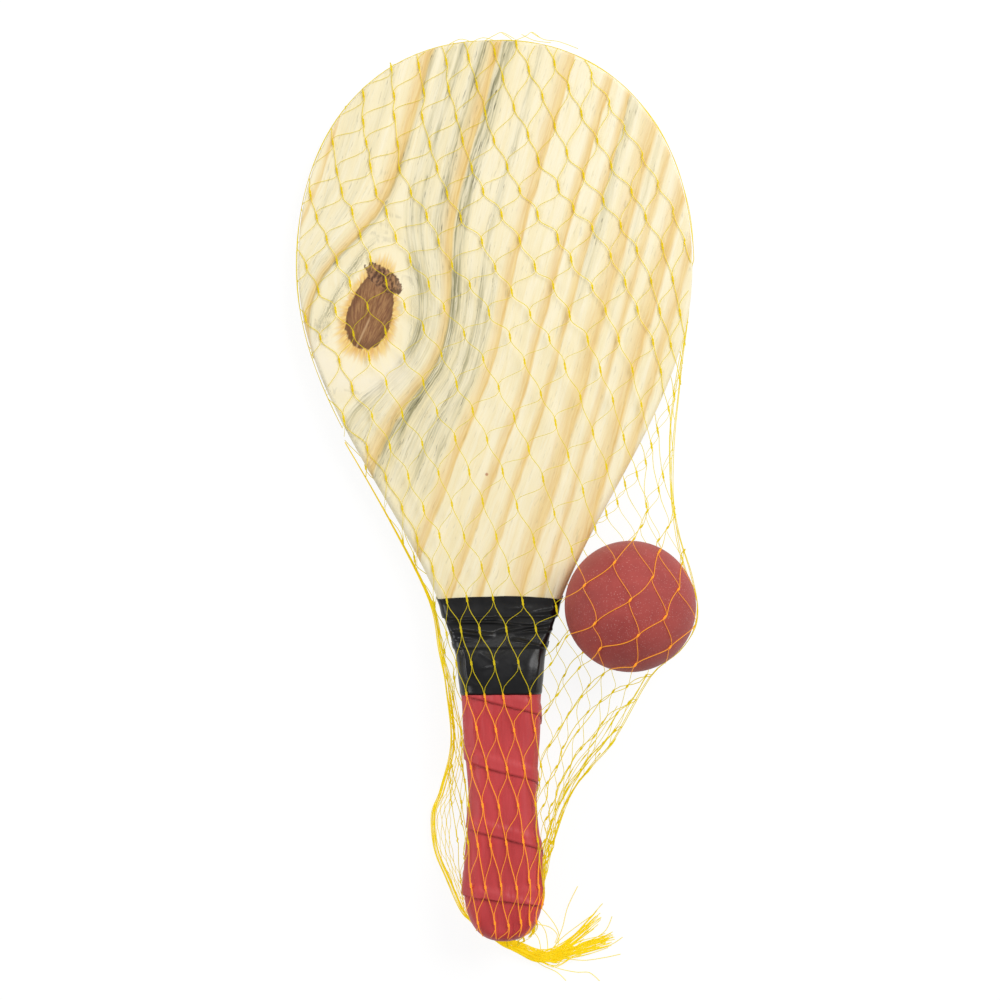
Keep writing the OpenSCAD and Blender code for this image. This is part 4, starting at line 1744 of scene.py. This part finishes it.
    def outline(self, form: BatForm) -> list[Point]:
        """Close the outline of the bag.

        Args:
            form: the bat's form.

        Returns:
            The outline, clockwise from the tip, in metres.
        """
        right = [tuple(c * MM for c in p) for p in smooth_path(self.right_side, self.side_steps)]
        left = [tuple(c * MM for c in p) for p in smooth_path(self.left_side, self.side_steps)]
        blade_right = self.blade_side(form, form.tip[1] - right[0][1], 1)
        blade_left = self.blade_side(form, form.tip[1] - left[0][1], -1)
        return blade_right + right + [(5.0 * MM, -184.5 * MM, 3.0 * MM)] + left[::-1] + blade_left[::-1]

    def blade_side(self, form: BatForm, until: float, side: int) -> list[Point]:
        """Follow the blade's edge down from the tip.

        Args:
            form: the bat's form.
            until: distance from the tip where it stops.
            side: 1 for the right and -1 for the left.

        Returns:
            The points of the bag's fold along it.
        """
        points = []
        for i in range(1, self.blade_points + 1):
            s = i / (self.blade_points + 1)
            t = until * (1 - math.cos(math.pi / 2 * s)) if until < 0.1 else until * s**1.6
            low, high = max(t - 0.3 * MM, 0), t + 0.3 * MM
            slope = (form.half_width(high) - form.half_width(low)) / (high - low)
            k = math.hypot(1, slope)
            x = form.half_width(t) + self.rim_gap / k
            y = form.tip[1] - t + self.rim_gap * slope / k
            points.append((side * x, y, form.tip[2] + t * math.sin(form.tilt)))
        return points


@dataclass
class NetBag:
    """The knotted net over and under the bat and the ball, with its gathered side and its loose ends."""

    form: BatForm
    ball: BallPlace = field(default_factory=BallPlace)
    plan: NetPlan = field(default_factory=NetPlan)
    finish: StrandFinish = field(default_factory=StrandFinish)
    # The gathered side and the loose ends also get a painted glow, 0.38 strong
    dense_finish: StrandFinish = field(default_factory=lambda: StrandFinish("yellow_net_gathered", 0.2, 0.38))
    taut: float = 0.17 * MM
    slack: float = 0.12 * MM
    stray: float = 0.15 * MM
    blade_gap: float = 0.4 * MM
    handle_gap: float = 1.9 * MM
    knot_reach: float = 2.1 * MM
    knot_twist: float = 0.28 * MM
    knot_swell: float = 0.17 * MM
    floor_gap: float = 0.42 * MM
    ball_gap: float = 0.45 * MM
    back_gap: float = 0.3 * MM
    pocket_rim: float = 0.6 * MM
    flank_gap: float = 2.5 * MM
    highest: float = 50 * MM
    widest_place: float = 102 * MM
    butt_place: float = 372 * MM
    shift_way: Place = (0.417, 0.909)
    way_by_ball: Place = (-0.622, -0.783)
    way_on_bat: Place = (0.158, -0.987)
    knot_sizes: Place = (0.7, 1.15)
    knot_steps: int = 7
    drape_rounds: int = 90
    # How far strands bow and knots drift, on average
    loose_bow: float = 0.5 * MM
    taut_bow: float = 0.22 * MM
    front_drift: float = 0.5 * MM
    back_drift: float = 0.9 * MM
    # Direction from the ball, and where the net beside it would follow the ball and the bat, in millimetres
    above_ball: tuple[Place, float, float] = ((-0.909, 0.417), 18.0, 27.5)
    below_ball: tuple[Place, float, float] = ((-0.75, -0.661), 24.0, 46.0)
    bundle_strands: int = 11
    loose_strands: int = 7
    pulled_strands: int = 7
    seed: int = 11

    def __post_init__(self) -> None:
        """Prepare the outline and the strands by zone."""
        self.rng = random.Random(self.seed)
        self.edge = self.plan.outline(self.form)
        self.edge_xy = np.array([p[:2] for p in self.edge])
        self.edge_z = np.array([p[2] for p in self.edge])
        self.strands: dict[Zone, list[Strand]] = {zone: [] for zone in Zone}

    def inside(self, x: float, y: float) -> bool:
        """Tell whether a point of the plan lies inside the bag's outline.

        Args:
            x: place across the bat.
            y: place along it.

        Returns:
            True inside.
        """
        a, b = self.edge_xy, np.roll(self.edge_xy, -1, axis=0)
        cross = (a[:, 1] > y) != (b[:, 1] > y)
        with np.errstate(divide="ignore", invalid="ignore"):
            at = (b[:, 0] - a[:, 0]) * (y - a[:, 1]) / (b[:, 1] - a[:, 1]) + a[:, 0]
        return bool(np.count_nonzero(cross & (x < at)) % 2)

    def fold_height(self, x: float, y: float) -> float:
        """Find the height of the bag's fold nearest to a point of the plan.

        Args:
            x: place across the bat.
            y: place along it.

        Returns:
            The height.
        """
        return float(self.edge_z[np.argmin(np.sum((self.edge_xy - (x, y)) ** 2, axis=1))])

    def front_floor(self, x: float, y: float) -> float:
        """Find the lowest height that the front of the net can have.

        Args:
            x: place across the bat.
            y: place along it.

        Returns:
            The height.
        """
        over = (self.form.top(x, y, self.blade_gap, self.handle_gap), self.ball.face(x, y, self.ball_gap, 1))
        return max([self.floor_gap, *(height for height in over if height is not None)])

    def back_roof(self, x: float, y: float) -> float:
        """Find the highest height that the back of the net can have.

        Args:
            x: place across the bat.
            y: place along it.

        Returns:
            The height.
        """
        under = (self.form.under(x, y, self.back_gap), self.ball.face(x, y, self.back_gap, -1))
        return max(min([self.highest, *(height for height in under if height is not None)]), self.floor_gap)

    def drape(self, places: dict[Number, Place], front: bool) -> dict[Number, float]:
        """Pull the net taut over what lies in it.

        Args:
            places: the knots' plan places.
            front: whether this is the front, which lies on top, or the back, which lies underneath.

        Returns:
            The height of every knot.
        """
        free = [n for n, p in places.items() if self.inside(*p)]
        limit = {n: self.front_floor(*places[n]) if front else self.back_roof(*places[n]) for n in free}
        height = {n: limit[n] if n in limit else self.fold_height(*p) for n, p in places.items()}
        for _ in range(self.drape_rounds):
            for k, j in free:
                near = [height[m] for m in ((k - 1, j), (k + 1, j), (k, j - 1), (k, j + 1)) if m in height]
                middle = sum(near) / len(near)
                bound = limit[(k, j)]
                height[(k, j)] = max(middle, bound) if front else max(min(middle, bound), self.floor_gap)
        return height

    def beside_bat(self, x: float, y: float) -> bool:
        """Tell whether a point of the plan lies right of the bat's flank.

        Args:
            x: place across the bat.
            y: place along it.

        Returns:
            True beside the bat.
        """
        t = self.form.tip[1] - y
        beside = x > self.form.half_width(t) + self.flank_gap
        return y < self.widest_place and 0 < t < self.butt_place and beside

    def zone(self, x: float, y: float, front: bool) -> Zone:
        """Find the zone of one point of the plan.

        Args:
            x: place across the bat.
            y: place along it.
            front: whether this is the front of the net, or the back.

        Returns:
            The zone.
        """
        dx, dy = x - self.ball.x, y - self.ball.y
        if front and math.hypot(dx, dy) < self.ball.radius + self.pocket_rim:
            return Zone.BALL
        if not self.beside_bat(x, y):
            return Zone.BAT if front else Zone.UNDER
        ahead = self.shift_way[0] * dx + self.shift_way[1] * dy
        return Zone.ABOVE_BALL if ahead > 0 else Zone.BELOW_BALL

    def by_ball(self, x: float, y: float) -> bool:
        """Tell whether the net is pulled towards the ball, so that the other strands are the taut ones.

        Args:
            x: place across the bat.
            y: place along it.

        Returns:
            True where it is.
        """
        return y < 0 and self.beside_bat(x, y)

    def girth(self, x: float, y: float, downward: bool) -> float:
        """Find a strand's radius, larger in the direction that is pulled taut and where the net is gathered.

        Args:
            x: place across the bat.
            y: place along it.
            downward: whether the strand runs down to the right.

        Returns:
            The radius.
        """
        radius = self.taut if downward is not self.by_ball(x, y) else self.slack
        return radius * mix(0.82, 1.0, ease((20 * MM - y) / (90 * MM)))

    def clear(self, x: float, y: float, z: float, front: bool) -> Point:
        """Keep a point of the net clear of what lies in it.

        Args:
            x: place across the bat.
            y: place along it.
            z: its height.
            front: whether this is the front of the net, or the back.

        Returns:
            The point at a free height.
        """
        if front:
            return (x, y, max(z, self.front_floor(x, y)))
        return (x, y, max(min(z, self.back_roof(x, y)), self.floor_gap))

    def knot_way(self, x: float, y: float, upward: bool) -> Place:
        """Find the direction in plan in which strands run through a knot.

        Args:
            x: place across the bat.
            y: place along it.
            upward: whether the strand runs up.

        Returns:
            The direction.
        """
        way = self.way_by_ball if self.by_ball(x, y) else self.way_on_bat
        return (-way[0], -way[1]) if upward else way

    def reach(self, x: float, y: float) -> float:
        """Find half the length of the knot at a place.

        Args:
            x: place across the bat.
            y: place along it.

        Returns:
            The half length, 0 where there is no knot.
        """
        shrink = 0.55 if self.by_ball(x, y) else (0.75 if y < -60 * MM else 1.1)
        return self.knot_reach * shrink * self.knot_scale.get(self.spot(x, y), 0.0)

    @staticmethod
    def spot(x: float, y: float) -> Place:
        """Round a point of the plan, to find its knot by it.

        Args:
            x: place across the bat.
            y: place along it.

        Returns:
            The rounded point.
        """
        return (round(x, 6), round(y, 6))

    def between(self, a: Point, b: Point, front: bool, downward: bool) -> Strand:
        """Run a strand from knot to knot, bowed a little and kept clear of what lies in the net.

        Args:
            a: the first knot.
            b: the second.
            front: whether this is the front of the net, or the back.
            downward: whether the strand runs down to the right.

        Returns:
            The points between them.
        """
        near_ball = math.hypot(a[0] - self.ball.x, a[1] - self.ball.y) < self.ball.radius + 16 * MM
        loose = self.by_ball(a[0], a[1]) or not front
        steps = 10 if near_ball and front else 5
        length = max(math.hypot(b[0] - a[0], b[1] - a[1]), 1e-6)
        bow = self.rng.gauss(0, self.loose_bow if loose else self.taut_bow) * min(length / (10 * MM), 1.2)
        side = ((a[1] - b[1]) / length, (b[0] - a[0]) / length)
        straight = ((b[0] - a[0]) / length, (b[1] - a[1]) / length)
        ends = []
        for here, sign in ((a, 1), (b, -1)):
            reach = min(self.reach(here[0], here[1]), 0.3 * length)
            way = self.knot_way(here[0], here[1], b[1] > a[1]) if reach else straight
            ends.append((here[0] + sign * way[0] * reach, here[1] + sign * way[1] * reach, way))
        (ax, ay, leave), (bx, by, arrive) = ends
        soft = 0.2 if near_ball and front else (0.85 if a[1] < -50 * MM else 0.45)
        pull = soft * math.hypot(bx - ax, by - ay)
        points = []
        for i in range(1, steps):
            s = i / steps
            off = bow * math.sin(math.pi * s)
            # Cubic that leaves one knot and reaches the next in the knots' own direction
            first, last = s * (1 - s) ** 2 * pull, s * s * (1 - s) * pull
            even = mix(s, s * s * (3 - 2 * s), soft)
            x = mix(ax, bx, even) + leave[0] * first - arrive[0] * last + side[0] * off
            y = mix(ay, by, even) + leave[1] * first - arrive[1] * last + side[1] * off
            points.append((*self.clear(x, y, mix(a[2], b[2], s), front), self.girth(x, y, downward)))
        return points

    def cut(self, a: Point, b: Point) -> Point:
        """Find where a stretch leaves the bag's outline.

        Args:
            a: its end inside.
            b: its end outside.

        Returns:
            The place, at the height of the fold.
        """
        low, high = 0.0, 1.0
        for _ in range(14):
            middle = (low + high) / 2
            if self.inside(mix(a[0], b[0], middle), mix(a[1], b[1], middle)):
                low = middle
            else:
                high = middle
        x, y = mix(a[0], b[0], low), mix(a[1], b[1], low)
        return (x, y, self.fold_height(x, y))

    def knot(self, here: Point, before: Point, after: Point, downward: bool, front: bool) -> Strand:
        """Twist a strand round its partner through one knot.

        Args:
            here: the knot's middle.
            before: where the strand comes from.
            after: where it goes.
            downward: whether this is a strand that runs down to the right.
            front: whether the knot lies on the front.

        Returns:
            The strand's points through the knot.
        """
        way = Vector(after) - Vector(before)
        along = Vector((*self.knot_way(here[0], here[1], way.y > 0), way.z / max(way.length, 1e-6) * 0.8))
        along.normalize()
        side = along.cross(Vector((0, 0, 1))).normalized()
        up = side.cross(along)
        reach = self.reach(here[0], here[1])
        points = []
        for i in range(self.knot_steps + 1):
            s = i / self.knot_steps
            swell = math.sin(math.pi * s)
            angle = (0.0 if downward else math.pi) + s * 3 * math.pi
            turn = self.knot_twist * (0.5 + 0.5 * swell)
            centre = Vector(here) + along * reach * (2 * s - 1)
            spot = centre + turn * (math.cos(angle) * side + math.sin(angle) * up)
            low = self.front_floor(centre.x, centre.y) if front else self.floor_gap
            radius = self.girth(here[0], here[1], downward) + self.knot_swell * swell
            least = low + 0.5 * self.knot_twist * math.sin(angle)
            points.append((spot.x, spot.y, max(spot.z, least), radius))
        return points

    def lay(self, front: bool) -> None:
        """Lay all the strands of the front or the back.

        Args:
            front: whether this is the front of the net, or the back.
        """
        places = self.plan.grid(0.0 if front else 0.5)
        heights = self.drape(places, front)
        drift = self.front_drift if front else self.back_drift
        knots = {
            n: (p[0] + self.rng.gauss(0, drift), p[1] + self.rng.gauss(0, drift), heights[n])
            for n, p in places.items()
        }
        sizes = self.knot_sizes
        self.knot_scale = {self.spot(p[0], p[1]): self.rng.uniform(*sizes) for p in knots.values()}
        ks = range(self.plan.strands[0], self.plan.strands[-1] + 1)
        js = range(self.plan.rows[0], self.plan.rows[-1] + 1)
        for k in ks:
            self.lay_one([(k, j) for j in js], knots, front, True)
        for start in range(ks[0] + js[0], ks[-1] + js[-1] + 1):
            self.lay_one([(start - j, j) for j in js if ks[0] <= start - j <= ks[-1]], knots, front, False)

    def lay_one(
        self, chain: Sequence[Number], knots: dict[Number, Point], front: bool, downward: bool
    ) -> None:
        """Lay one strand through a chain of knots, cut where it leaves the bag or its zone.

        Args:
            chain: the knots' numbers.
            knots: their places.
            front: whether this is the front of the net, or the back.
            downward: whether the strand runs down to the right.
        """
        run: Strand = []
        zone: Zone | None = None
        for i in range(len(chain) - 1):
            a, b = knots[chain[i]], knots[chain[i + 1]]
            a_in, b_in = self.inside(a[0], a[1]), self.inside(b[0], b[1])
            if not a_in and not b_in:
                continue
            start = a if a_in else self.cut(b, a)
            end = b if b_in else self.cut(a, b)
            here = self.join_zone(self.zone(start[0], start[1], front), self.zone(end[0], end[1], front))
            if here is not zone or not run:
                self.keep(run, zone)
                run, zone = ([run[-1]] if run and a_in else []), here
            if not run:
                run = [(*start, self.girth(start[0], start[1], downward))]
            run += self.between(start, end, front, downward)
            if b_in and i + 2 < len(chain):
                run += self.knot(b, a, knots[chain[i + 2]], downward, front)
            else:
                run.append((*end, self.girth(end[0], end[1], downward)))
            if not b_in:
                self.keep(run, zone)
                run, zone = [], None
        self.keep(run, zone)

    @staticmethod
    def join_zone(a: Zone, b: Zone) -> Zone:
        """Find the zone of a stretch between two knots.

        Args:
            a: the zone of one knot.
            b: the zone of the other.

        Returns:
            The stretch's zone.
        """
        if a is b:
            return a
        for zone in (Zone.ABOVE_BALL, Zone.BELOW_BALL):
            if zone in (a, b):
                return zone
        return Zone.ABOVE_BALL

    def keep(self, run: Strand, zone: Zone | None) -> None:
        """Keep a finished run of strand in its zone.

        Args:
            run: the strand.
            zone: where it belongs.
        """
        if zone is not None and len(run) > 1:
            self.strands[zone].append(run)

    def lay_fold(self) -> None:
        """Lay the strands that run along the bag's fold."""
        blade, steps = self.plan.blade_points, self.plan.side_steps
        right = self.edge[: blade + steps * (len(self.plan.right_side) - 1) + 1]
        left = self.edge[-blade:]
        middle = blade + steps * self.plan.ball_place
        runs = (
            (Zone.BAT, left + right[: blade + 1], 2, 0.14 * MM, 0.25),
            (Zone.ABOVE_BALL, right[blade : middle + 1], 4, 0.15 * MM, 1.0),
            (Zone.BELOW_BALL, right[middle:], 2, 0.16 * MM, 0.5),
        )
        for zone, points, count, radius, spread in runs:
            for strand in range(count):
                wave = self.rng.random() * 9
                path = []
                for i, (x, y, z) in enumerate(points):
                    ends = min(i, len(points) - 1 - i, 4) / 4
                    off = spread * ends * (0.6 * math.sin(0.5 * i + wave + strand * 2.1) - 0.7 * strand) * MM
                    lift = 0.6 * MM * math.sin(0.55 * i + wave * 2 + strand)
                    outward = off * (0.8 if x > 0 else -0.8)
                    path.append((x + outward, y, max(z + lift, self.floor_gap), radius))
                self.strands[zone].append(path)

    def left_bundle(self) -> list[Strand]:
        """Gather the spare width of the net along the bat's left side.

        Returns:
            The strands.
        """
        route = smooth_path([(x, y, max(z, 2.4)) for x, y, z in self.plan.left_side], 6)
        strands = []
        for i in range(self.bundle_strands):
            ring = math.sqrt((i + 0.5) / self.bundle_strands)
            points = []
            for n, (x, y, z) in enumerate(route):
                s = n / (len(route) - 1)
                size = ring * mix(0.2, 1.15, ease(s / 0.3)) * mix(1.0, 0.8, ease((s - 0.75) / 0.25))
                angle = 2.4 * i + 6.0 * s + 0.6 * math.sin(9 * s + i)
                points.append((x + size * math.cos(angle), y, max(z + size * math.sin(angle), 0.4)))
            strands.append(to_strand(points, self.slack, 1))
        # Loose strands between the bundle and the handle
        inner = smooth_path(self.plan.left_side[2:], 6)
        for i in range(self.loose_strands):
            share = (i + 0.5) / self.loose_strands
            wave = self.rng.random() * 6
            points = []
            for n, (x, y, z) in enumerate(inner):
                s = n / (len(inner) - 1)
                belly = math.sin(math.pi * min(max((s - 0.1) / 0.86, 0), 1)) ** 1.2
                wide = 0.8 + 6.5 * share * belly + 0.5 * belly * math.sin(75 * s + math.pi * i)
                wide += 0.3 * math.sin(20 * s + wave)
                points.append((x + wide, y, max(z + 0.8 * math.sin(12 * s + 2 * wave) + 2.5 * share, 0.5)))
            strands.append(to_strand(points, self.slack * 0.9, 1))
        return strands

    def right_bundle(self) -> list[Strand]:
        """Pull the net together below the ball, each strand with its small knots.

        Returns:
            The strands.
        """
        route = [p for p in self.plan.right_side if p[1] < -62]
        strands = []
        for i in range(self.pulled_strands):
            share = i / (self.pulled_strands - 1)
            wave = self.rng.random() * 6
            points = []
            for n, (x, y, z) in enumerate(route):
                s = n / (len(route) - 1)
                wide = share * mix(6.5, 2.4, ease(s / 0.9)) + 0.55 * math.sin(1.9 * n + wave)
                lift = 0.9 * math.sin(1.7 * i + n) + 0.3 * wide
                points.append((x - wide, y + 0.3 * wide, max(z + lift, 1.0)))
            strand = to_strand(points, self.slack, 9)[int(self.rng.random() * 16) :]
            offset = self.rng.random() * 9
            strands.append(
                [
                    (x, y, z, r + 0.22 * MM * math.exp(-((((n + offset) % 9) - 4.5) ** 2)))
                    for n, (x, y, z, r) in enumerate(strand)
                ]
            )
        return strands

    def tail(self) -> list[Strand]:
        """Gather the net past the butt and fan out its cut ends in clumps.

        Returns:
            The strands.
        """
        # Where each clump ends, how many strands it has, how wide it spreads and how even its ends are
        clumps = (
            ((42.0, -172.6, 1.8), 12, 2.2, 5.0),
            ((40.5, -177.0, 2.6), 9, 2.4, 6.0),
            ((47.2, -181.4, 1.4), 22, 1.6, 5.0),
            ((45.8, -184.8, 1.0), 18, 2.2, 7.0),
            ((34.0, -184.5, 1.6), 18, 3.4, 8.0),
            ((38.0, -188.0, 0.8), 8, 1.8, 8.0),
        )
        strands = []
        for end, count, spread, ragged in clumps:
            for i in range(count):
                ring = math.sqrt((i + 0.5) / count)
                side, lift = ring * math.cos(2.4 * i), ring * math.sin(2.4 * i)
                stop = (
                    end[0] - ragged * self.rng.random(),
                    end[1] + spread * side + self.rng.gauss(0, 0.4),
                    max(end[2] + 0.9 * lift, 0.35),
                )
                bend = self.rng.gauss(0, 1.1)
                other = self.rng.gauss(0, 0.9)
                points = [
                    (-6.0 + self.rng.gauss(0, 0.5), -179.9 + 0.6 * side, 4.2 + lift),
                    (0.8 * side, -182.9 + 1.9 * side, 3.5 + 1.5 * lift),
                    (7.0 + 0.5 * bend, -186.0 + 2.5 * side + 0.5 * other, 3.1 + 2.0 * lift),
                    (14.5 + other, -189.3 + 2.5 * side + 0.5 * bend, 2.8 + 1.8 * lift + 0.4 * other),
                    (22.0, -189.6 + 2.2 * side + 0.25 * (stop[1] + 182) - 0.9 * other, 2.5 + 1.6 * lift),
                    (
                        mix(22.0, stop[0], 0.5),
                        mix(-189.0, stop[1], 0.55) - 0.7 + bend * 0.8,
                        1.9 + 1.1 * lift,
                    ),
                    stop,
                ]
                strands.append(to_strand([(x, y, max(z, 0.4)) for x, y, z in points], 0.15 * MM, 4))
        strays = (
            ((11.5, -165, 5), (17, -170, 3.2), (22.5, -178, 2.4), (23, -184, 1.5), (20.5, -189.5, 1.8)),
            ((20, -188.5, 3), (24.5, -178, 3.2), (27, -169, 2.4), (31.5, -160.0, 1.4)),
            ((13, -175.5, 4), (19, -177, 2.4), (22.5, -180.5, 1.5), (21.5, -184, 1.5)),
            ((10.0, -176, 4), (14.5, -182, 2.6), (15.5, -189.0, 2.4)),
            ((12.5, -172, 4), (17.5, -179, 2.6), (18.5, -189.0, 2.4)),
            ((22, -190, 2), (33, -191.6, 1.4), (42, -190.7, 0.9), (49.4, -189.3, 0.6)),
            ((10, -189, 2.4), (16, -193.5, 1.4), (22, -196.5, 0.9), (26.0, -200.3, 0.5)),
            (
                (14, -190.5, 2.2), (22, -194.6, 1.5), (30, -196.6, 1.0), (36, -197.0, 0.7),
                (40.3, -200.6, 0.5),
            ),
            ((20, -189, 3), (33, -184.5, 3.4), (42.5, -179.5, 2.4), (46.0, -173.0, 1.6)),
            ((20, -188.5, 3), (30, -181.0, 3.0), (37, -173.0, 2.2), (42.0, -167.5, 1.4)),
            ((24, -189.5, 2), (36, -187.0, 2.0), (45, -185.2, 1.4), (50.4, -182.0, 1.0)),
            ((18, -189, 3), (24, -182, 4.2), (32, -176, 3.4), (38, -172, 2.4)),
        )
        return strands + [to_strand(route, self.stray) for route in strays]

    def top_loops(self) -> list[Strand]:
        """Stand slack loops of net out past the blade's top.

        Returns:
            The loops.
        """
        loops = (
            ((-19.5, 198.6, 5), (-13.5, 201.2, 6), (-8, 199.6, 6)),
            ((-9.5, 199.4, 6), (-4, 201.6, 6.5), (1.5, 200.2, 6)),
            ((-3.5, 200.2, 6), (1.2, 202.6, 7), (4.5, 203.6, 7), (9.5, 201.0, 6)),
            ((4.2, 203.4, 7), (7.5, 201.4, 6), (9.8, 199.0, 5)),
            ((9.6, 200.2, 6), (14.5, 202.2, 6.5), (17.0, 203.6, 7), (20.5, 201.2, 6.5)),
            ((16.8, 203.4, 7), (22.0, 200.6, 6), (28.5, 199.6, 5.5), (36.5, 196.6, 5)),
            ((12.5, 202.8, 6.5), (18.0, 200.2, 6), (25.0, 199.2, 5.5)),
        )
        return [to_strand(route, self.slack) for route in loops]

    def build(self) -> list[bpy.types.Object]:
        """Build and dress the whole net.

        Returns:
            The net's pieces.
        """
        self.lay(True)
        self.lay(False)
        self.lay_fold()
        self.strands[Zone.BAT] += self.top_loops()
        self.strands[Zone.BELOW_BALL] += self.right_bundle()
        pieces = {zone: tubes(zone.value, runs) for zone, runs in self.strands.items()}
        bundle = tubes("net_gathered_side", self.left_bundle())
        tail = tubes("net_loose_ends", self.tail())
        self.finish.put_on(*pieces.values())
        self.dense_finish.put_on(bundle, tail)
        for piece in (pieces[Zone.BAT], pieces[Zone.UNDER], bundle, tail):
            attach(piece, "bat")
        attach(pieces[Zone.BALL], "pocket")
        self.hang_beside_ball(pieces[Zone.ABOVE_BALL], *self.above_ball)
        self.hang_beside_ball(pieces[Zone.BELOW_BALL], *self.below_ball)
        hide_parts("net_front", "net_sleeve")
        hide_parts("net_back")
        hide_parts("net_pocket")
        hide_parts("net_upper_span")
        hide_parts("net_lower_span")
        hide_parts("net_side_bundle")
        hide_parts("net_tail")
        made = [*pieces.values(), bundle, tail]
        return made

    def hang_beside_ball(self, piece: bpy.types.Object, way: Place, near: float, far: float) -> None:
        """Bake a stretch of net's place into its mesh; where it would follow the ball and the bat is found
        but not used.

        Args:
            piece: the stretch.
            way: direction in plan from the ball's centre.
            near: where it would follow the ball, in millimetres from the centre.
            far: where it would follow the bat.
        """
        ball = self.ball
        ends = [(ball.x + way[0] * d * MM, ball.y + way[1] * d * MM, ball.z) for d in (near, far)]
        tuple(ends[0])
        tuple(ends[1])
        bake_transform(piece)


@dataclass
class Studio:
    """Pale floor, soft light and the camera above the set."""

    view_width: float = 423.2 * MM
    centre: Place = (0.66 * MM, 5.13 * MM)
    plane_height: float = 12 * MM
    lens: float = 120.0
    roll: float = math.radians(0.79)
    sensor: float = 36.0
    floor_lit: float = 0.82
    floor_shown: float = 0.15
    floor_glow: float = 0.885
    sky: float = 0.39
    # Each lamp's name, place, width and power
    lamps: tuple[tuple[str, Point, float, float], ...] = (
        ("key_lamp", (0.85, 0.66, 1.1), 1.1, 16.8),
        ("fill_lamp", (-1.2, 0.1, 0.75), 0.8, 6.4),
        ("crease_lamp", (-0.1, 1.1, 0.9), 0.14, 1.1),
    )

    def floor(self) -> bpy.types.Object:
        """Lay a white floor that keeps the set's shadow.

        Returns:
            The floor.
        """
        mesh = bmesh.new()
        bmesh.ops.create_grid(mesh, x_segments=1, y_segments=1, size=4.0)
        made = finish_mesh(mesh, "floor", smooth=False)
        material = bpy.data.materials.new("white_floor")
        material.use_nodes = True
        material.node_tree.nodes.clear()
        wiring = Wiring(material.node_tree)
        lit = wiring.node("ShaderNodeBsdfDiffuse", {"Color": grey(self.floor_lit)})
        shown = wiring.node("ShaderNodeBsdfDiffuse", {"Color": grey(self.floor_shown)})
        light = wiring.node("ShaderNodeLightPath")
        seen = Value(wiring, light.outputs["Is Camera Ray"])
        for ray in ("Is Transmission Ray", "Is Glossy Ray"):
            seen = seen.math("MAXIMUM", light.outputs[ray])
        glow = wiring.node("ShaderNodeEmission", {"Color": grey(1.0), "Strength": self.floor_glow})
        white = wiring.node("ShaderNodeAddShader", {0: shown.outputs[0], 1: glow.outputs[0]})
        both = wiring.node("ShaderNodeMixShader", {0: seen, 1: lit.outputs[0], 2: white.outputs[0]})
        wiring.node("ShaderNodeOutputMaterial", {"Surface": both.outputs[0]})
        made.data.materials.append(material)
        return made

    def lights(self) -> None:
        """Set the world, two soft lamps and a small one that shows the tape's creases."""
        world = bpy.data.worlds.new("studio")
        world.use_nodes = True
        background = world.node_tree.nodes["Background"]
        background.inputs["Color"].default_value = grey(1.0)
        background.inputs["Strength"].default_value = self.sky
        bpy.context.scene.world = world
        for name, place, size, power in self.lamps:
            data = bpy.data.lights.new(name, "AREA")
            data.shape = "DISK"
            data.size = size
            data.energy = power
            lamp = bpy.data.objects.new(name, data)
            lamp.location = place
            lamp.rotation_euler = (-Vector(place)).to_track_quat("-Z", "Y").to_euler()
            bpy.context.scene.collection.objects.link(lamp)

    def camera(self) -> None:
        """Hang the camera straight above the set."""
        data = bpy.data.cameras.new("overhead")
        data.lens = self.lens
        data.sensor_width = self.sensor
        made = bpy.data.objects.new("overhead", data)
        height = self.plane_height + self.view_width * self.lens / self.sensor
        made.location = (self.centre[0], self.centre[1], height)
        made.rotation_euler = (0.0, 0.0, -self.roll)
        data.clip_end = 20.0
        bpy.context.scene.collection.objects.link(made)
        bpy.context.scene.camera = made

    def build(self) -> None:
        """Set up the whole studio."""
        self.camera()
        self.lights()
        self.floor()
        bpy.context.scene.view_settings.view_transform = "Standard"


def dress_kept_nodes() -> None:
    """Give the CAD nodes that stay their finishes."""
    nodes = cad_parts
    RubberFinish().put_on(nodes["rubber_ball"])
    PlainWoodFinish().put_on(nodes["front_cheek"], nodes["back_cheek"])


def main() -> None:
    """Build the set piece by piece and report each."""
    logging.basicConfig(level=logging.INFO, format="%(message)s")
    Studio().build()
    LOG.info("studio: camera, lamps and floor")
    dress_kept_nodes()
    LOG.info("kept nodes: ball and cheeks")
    form = BatForm()
    LOG.info("board: %s", Board(form).build().name)
    for piece in ThroatTape(form).build() + GripTape(form).build() + NetBag(form).build():
        piece.data.calc_loop_triangles()
        LOG.info("%s: %d triangles", piece.name, len(piece.data.loop_triangles))


if __name__ == "__main__":
    main()
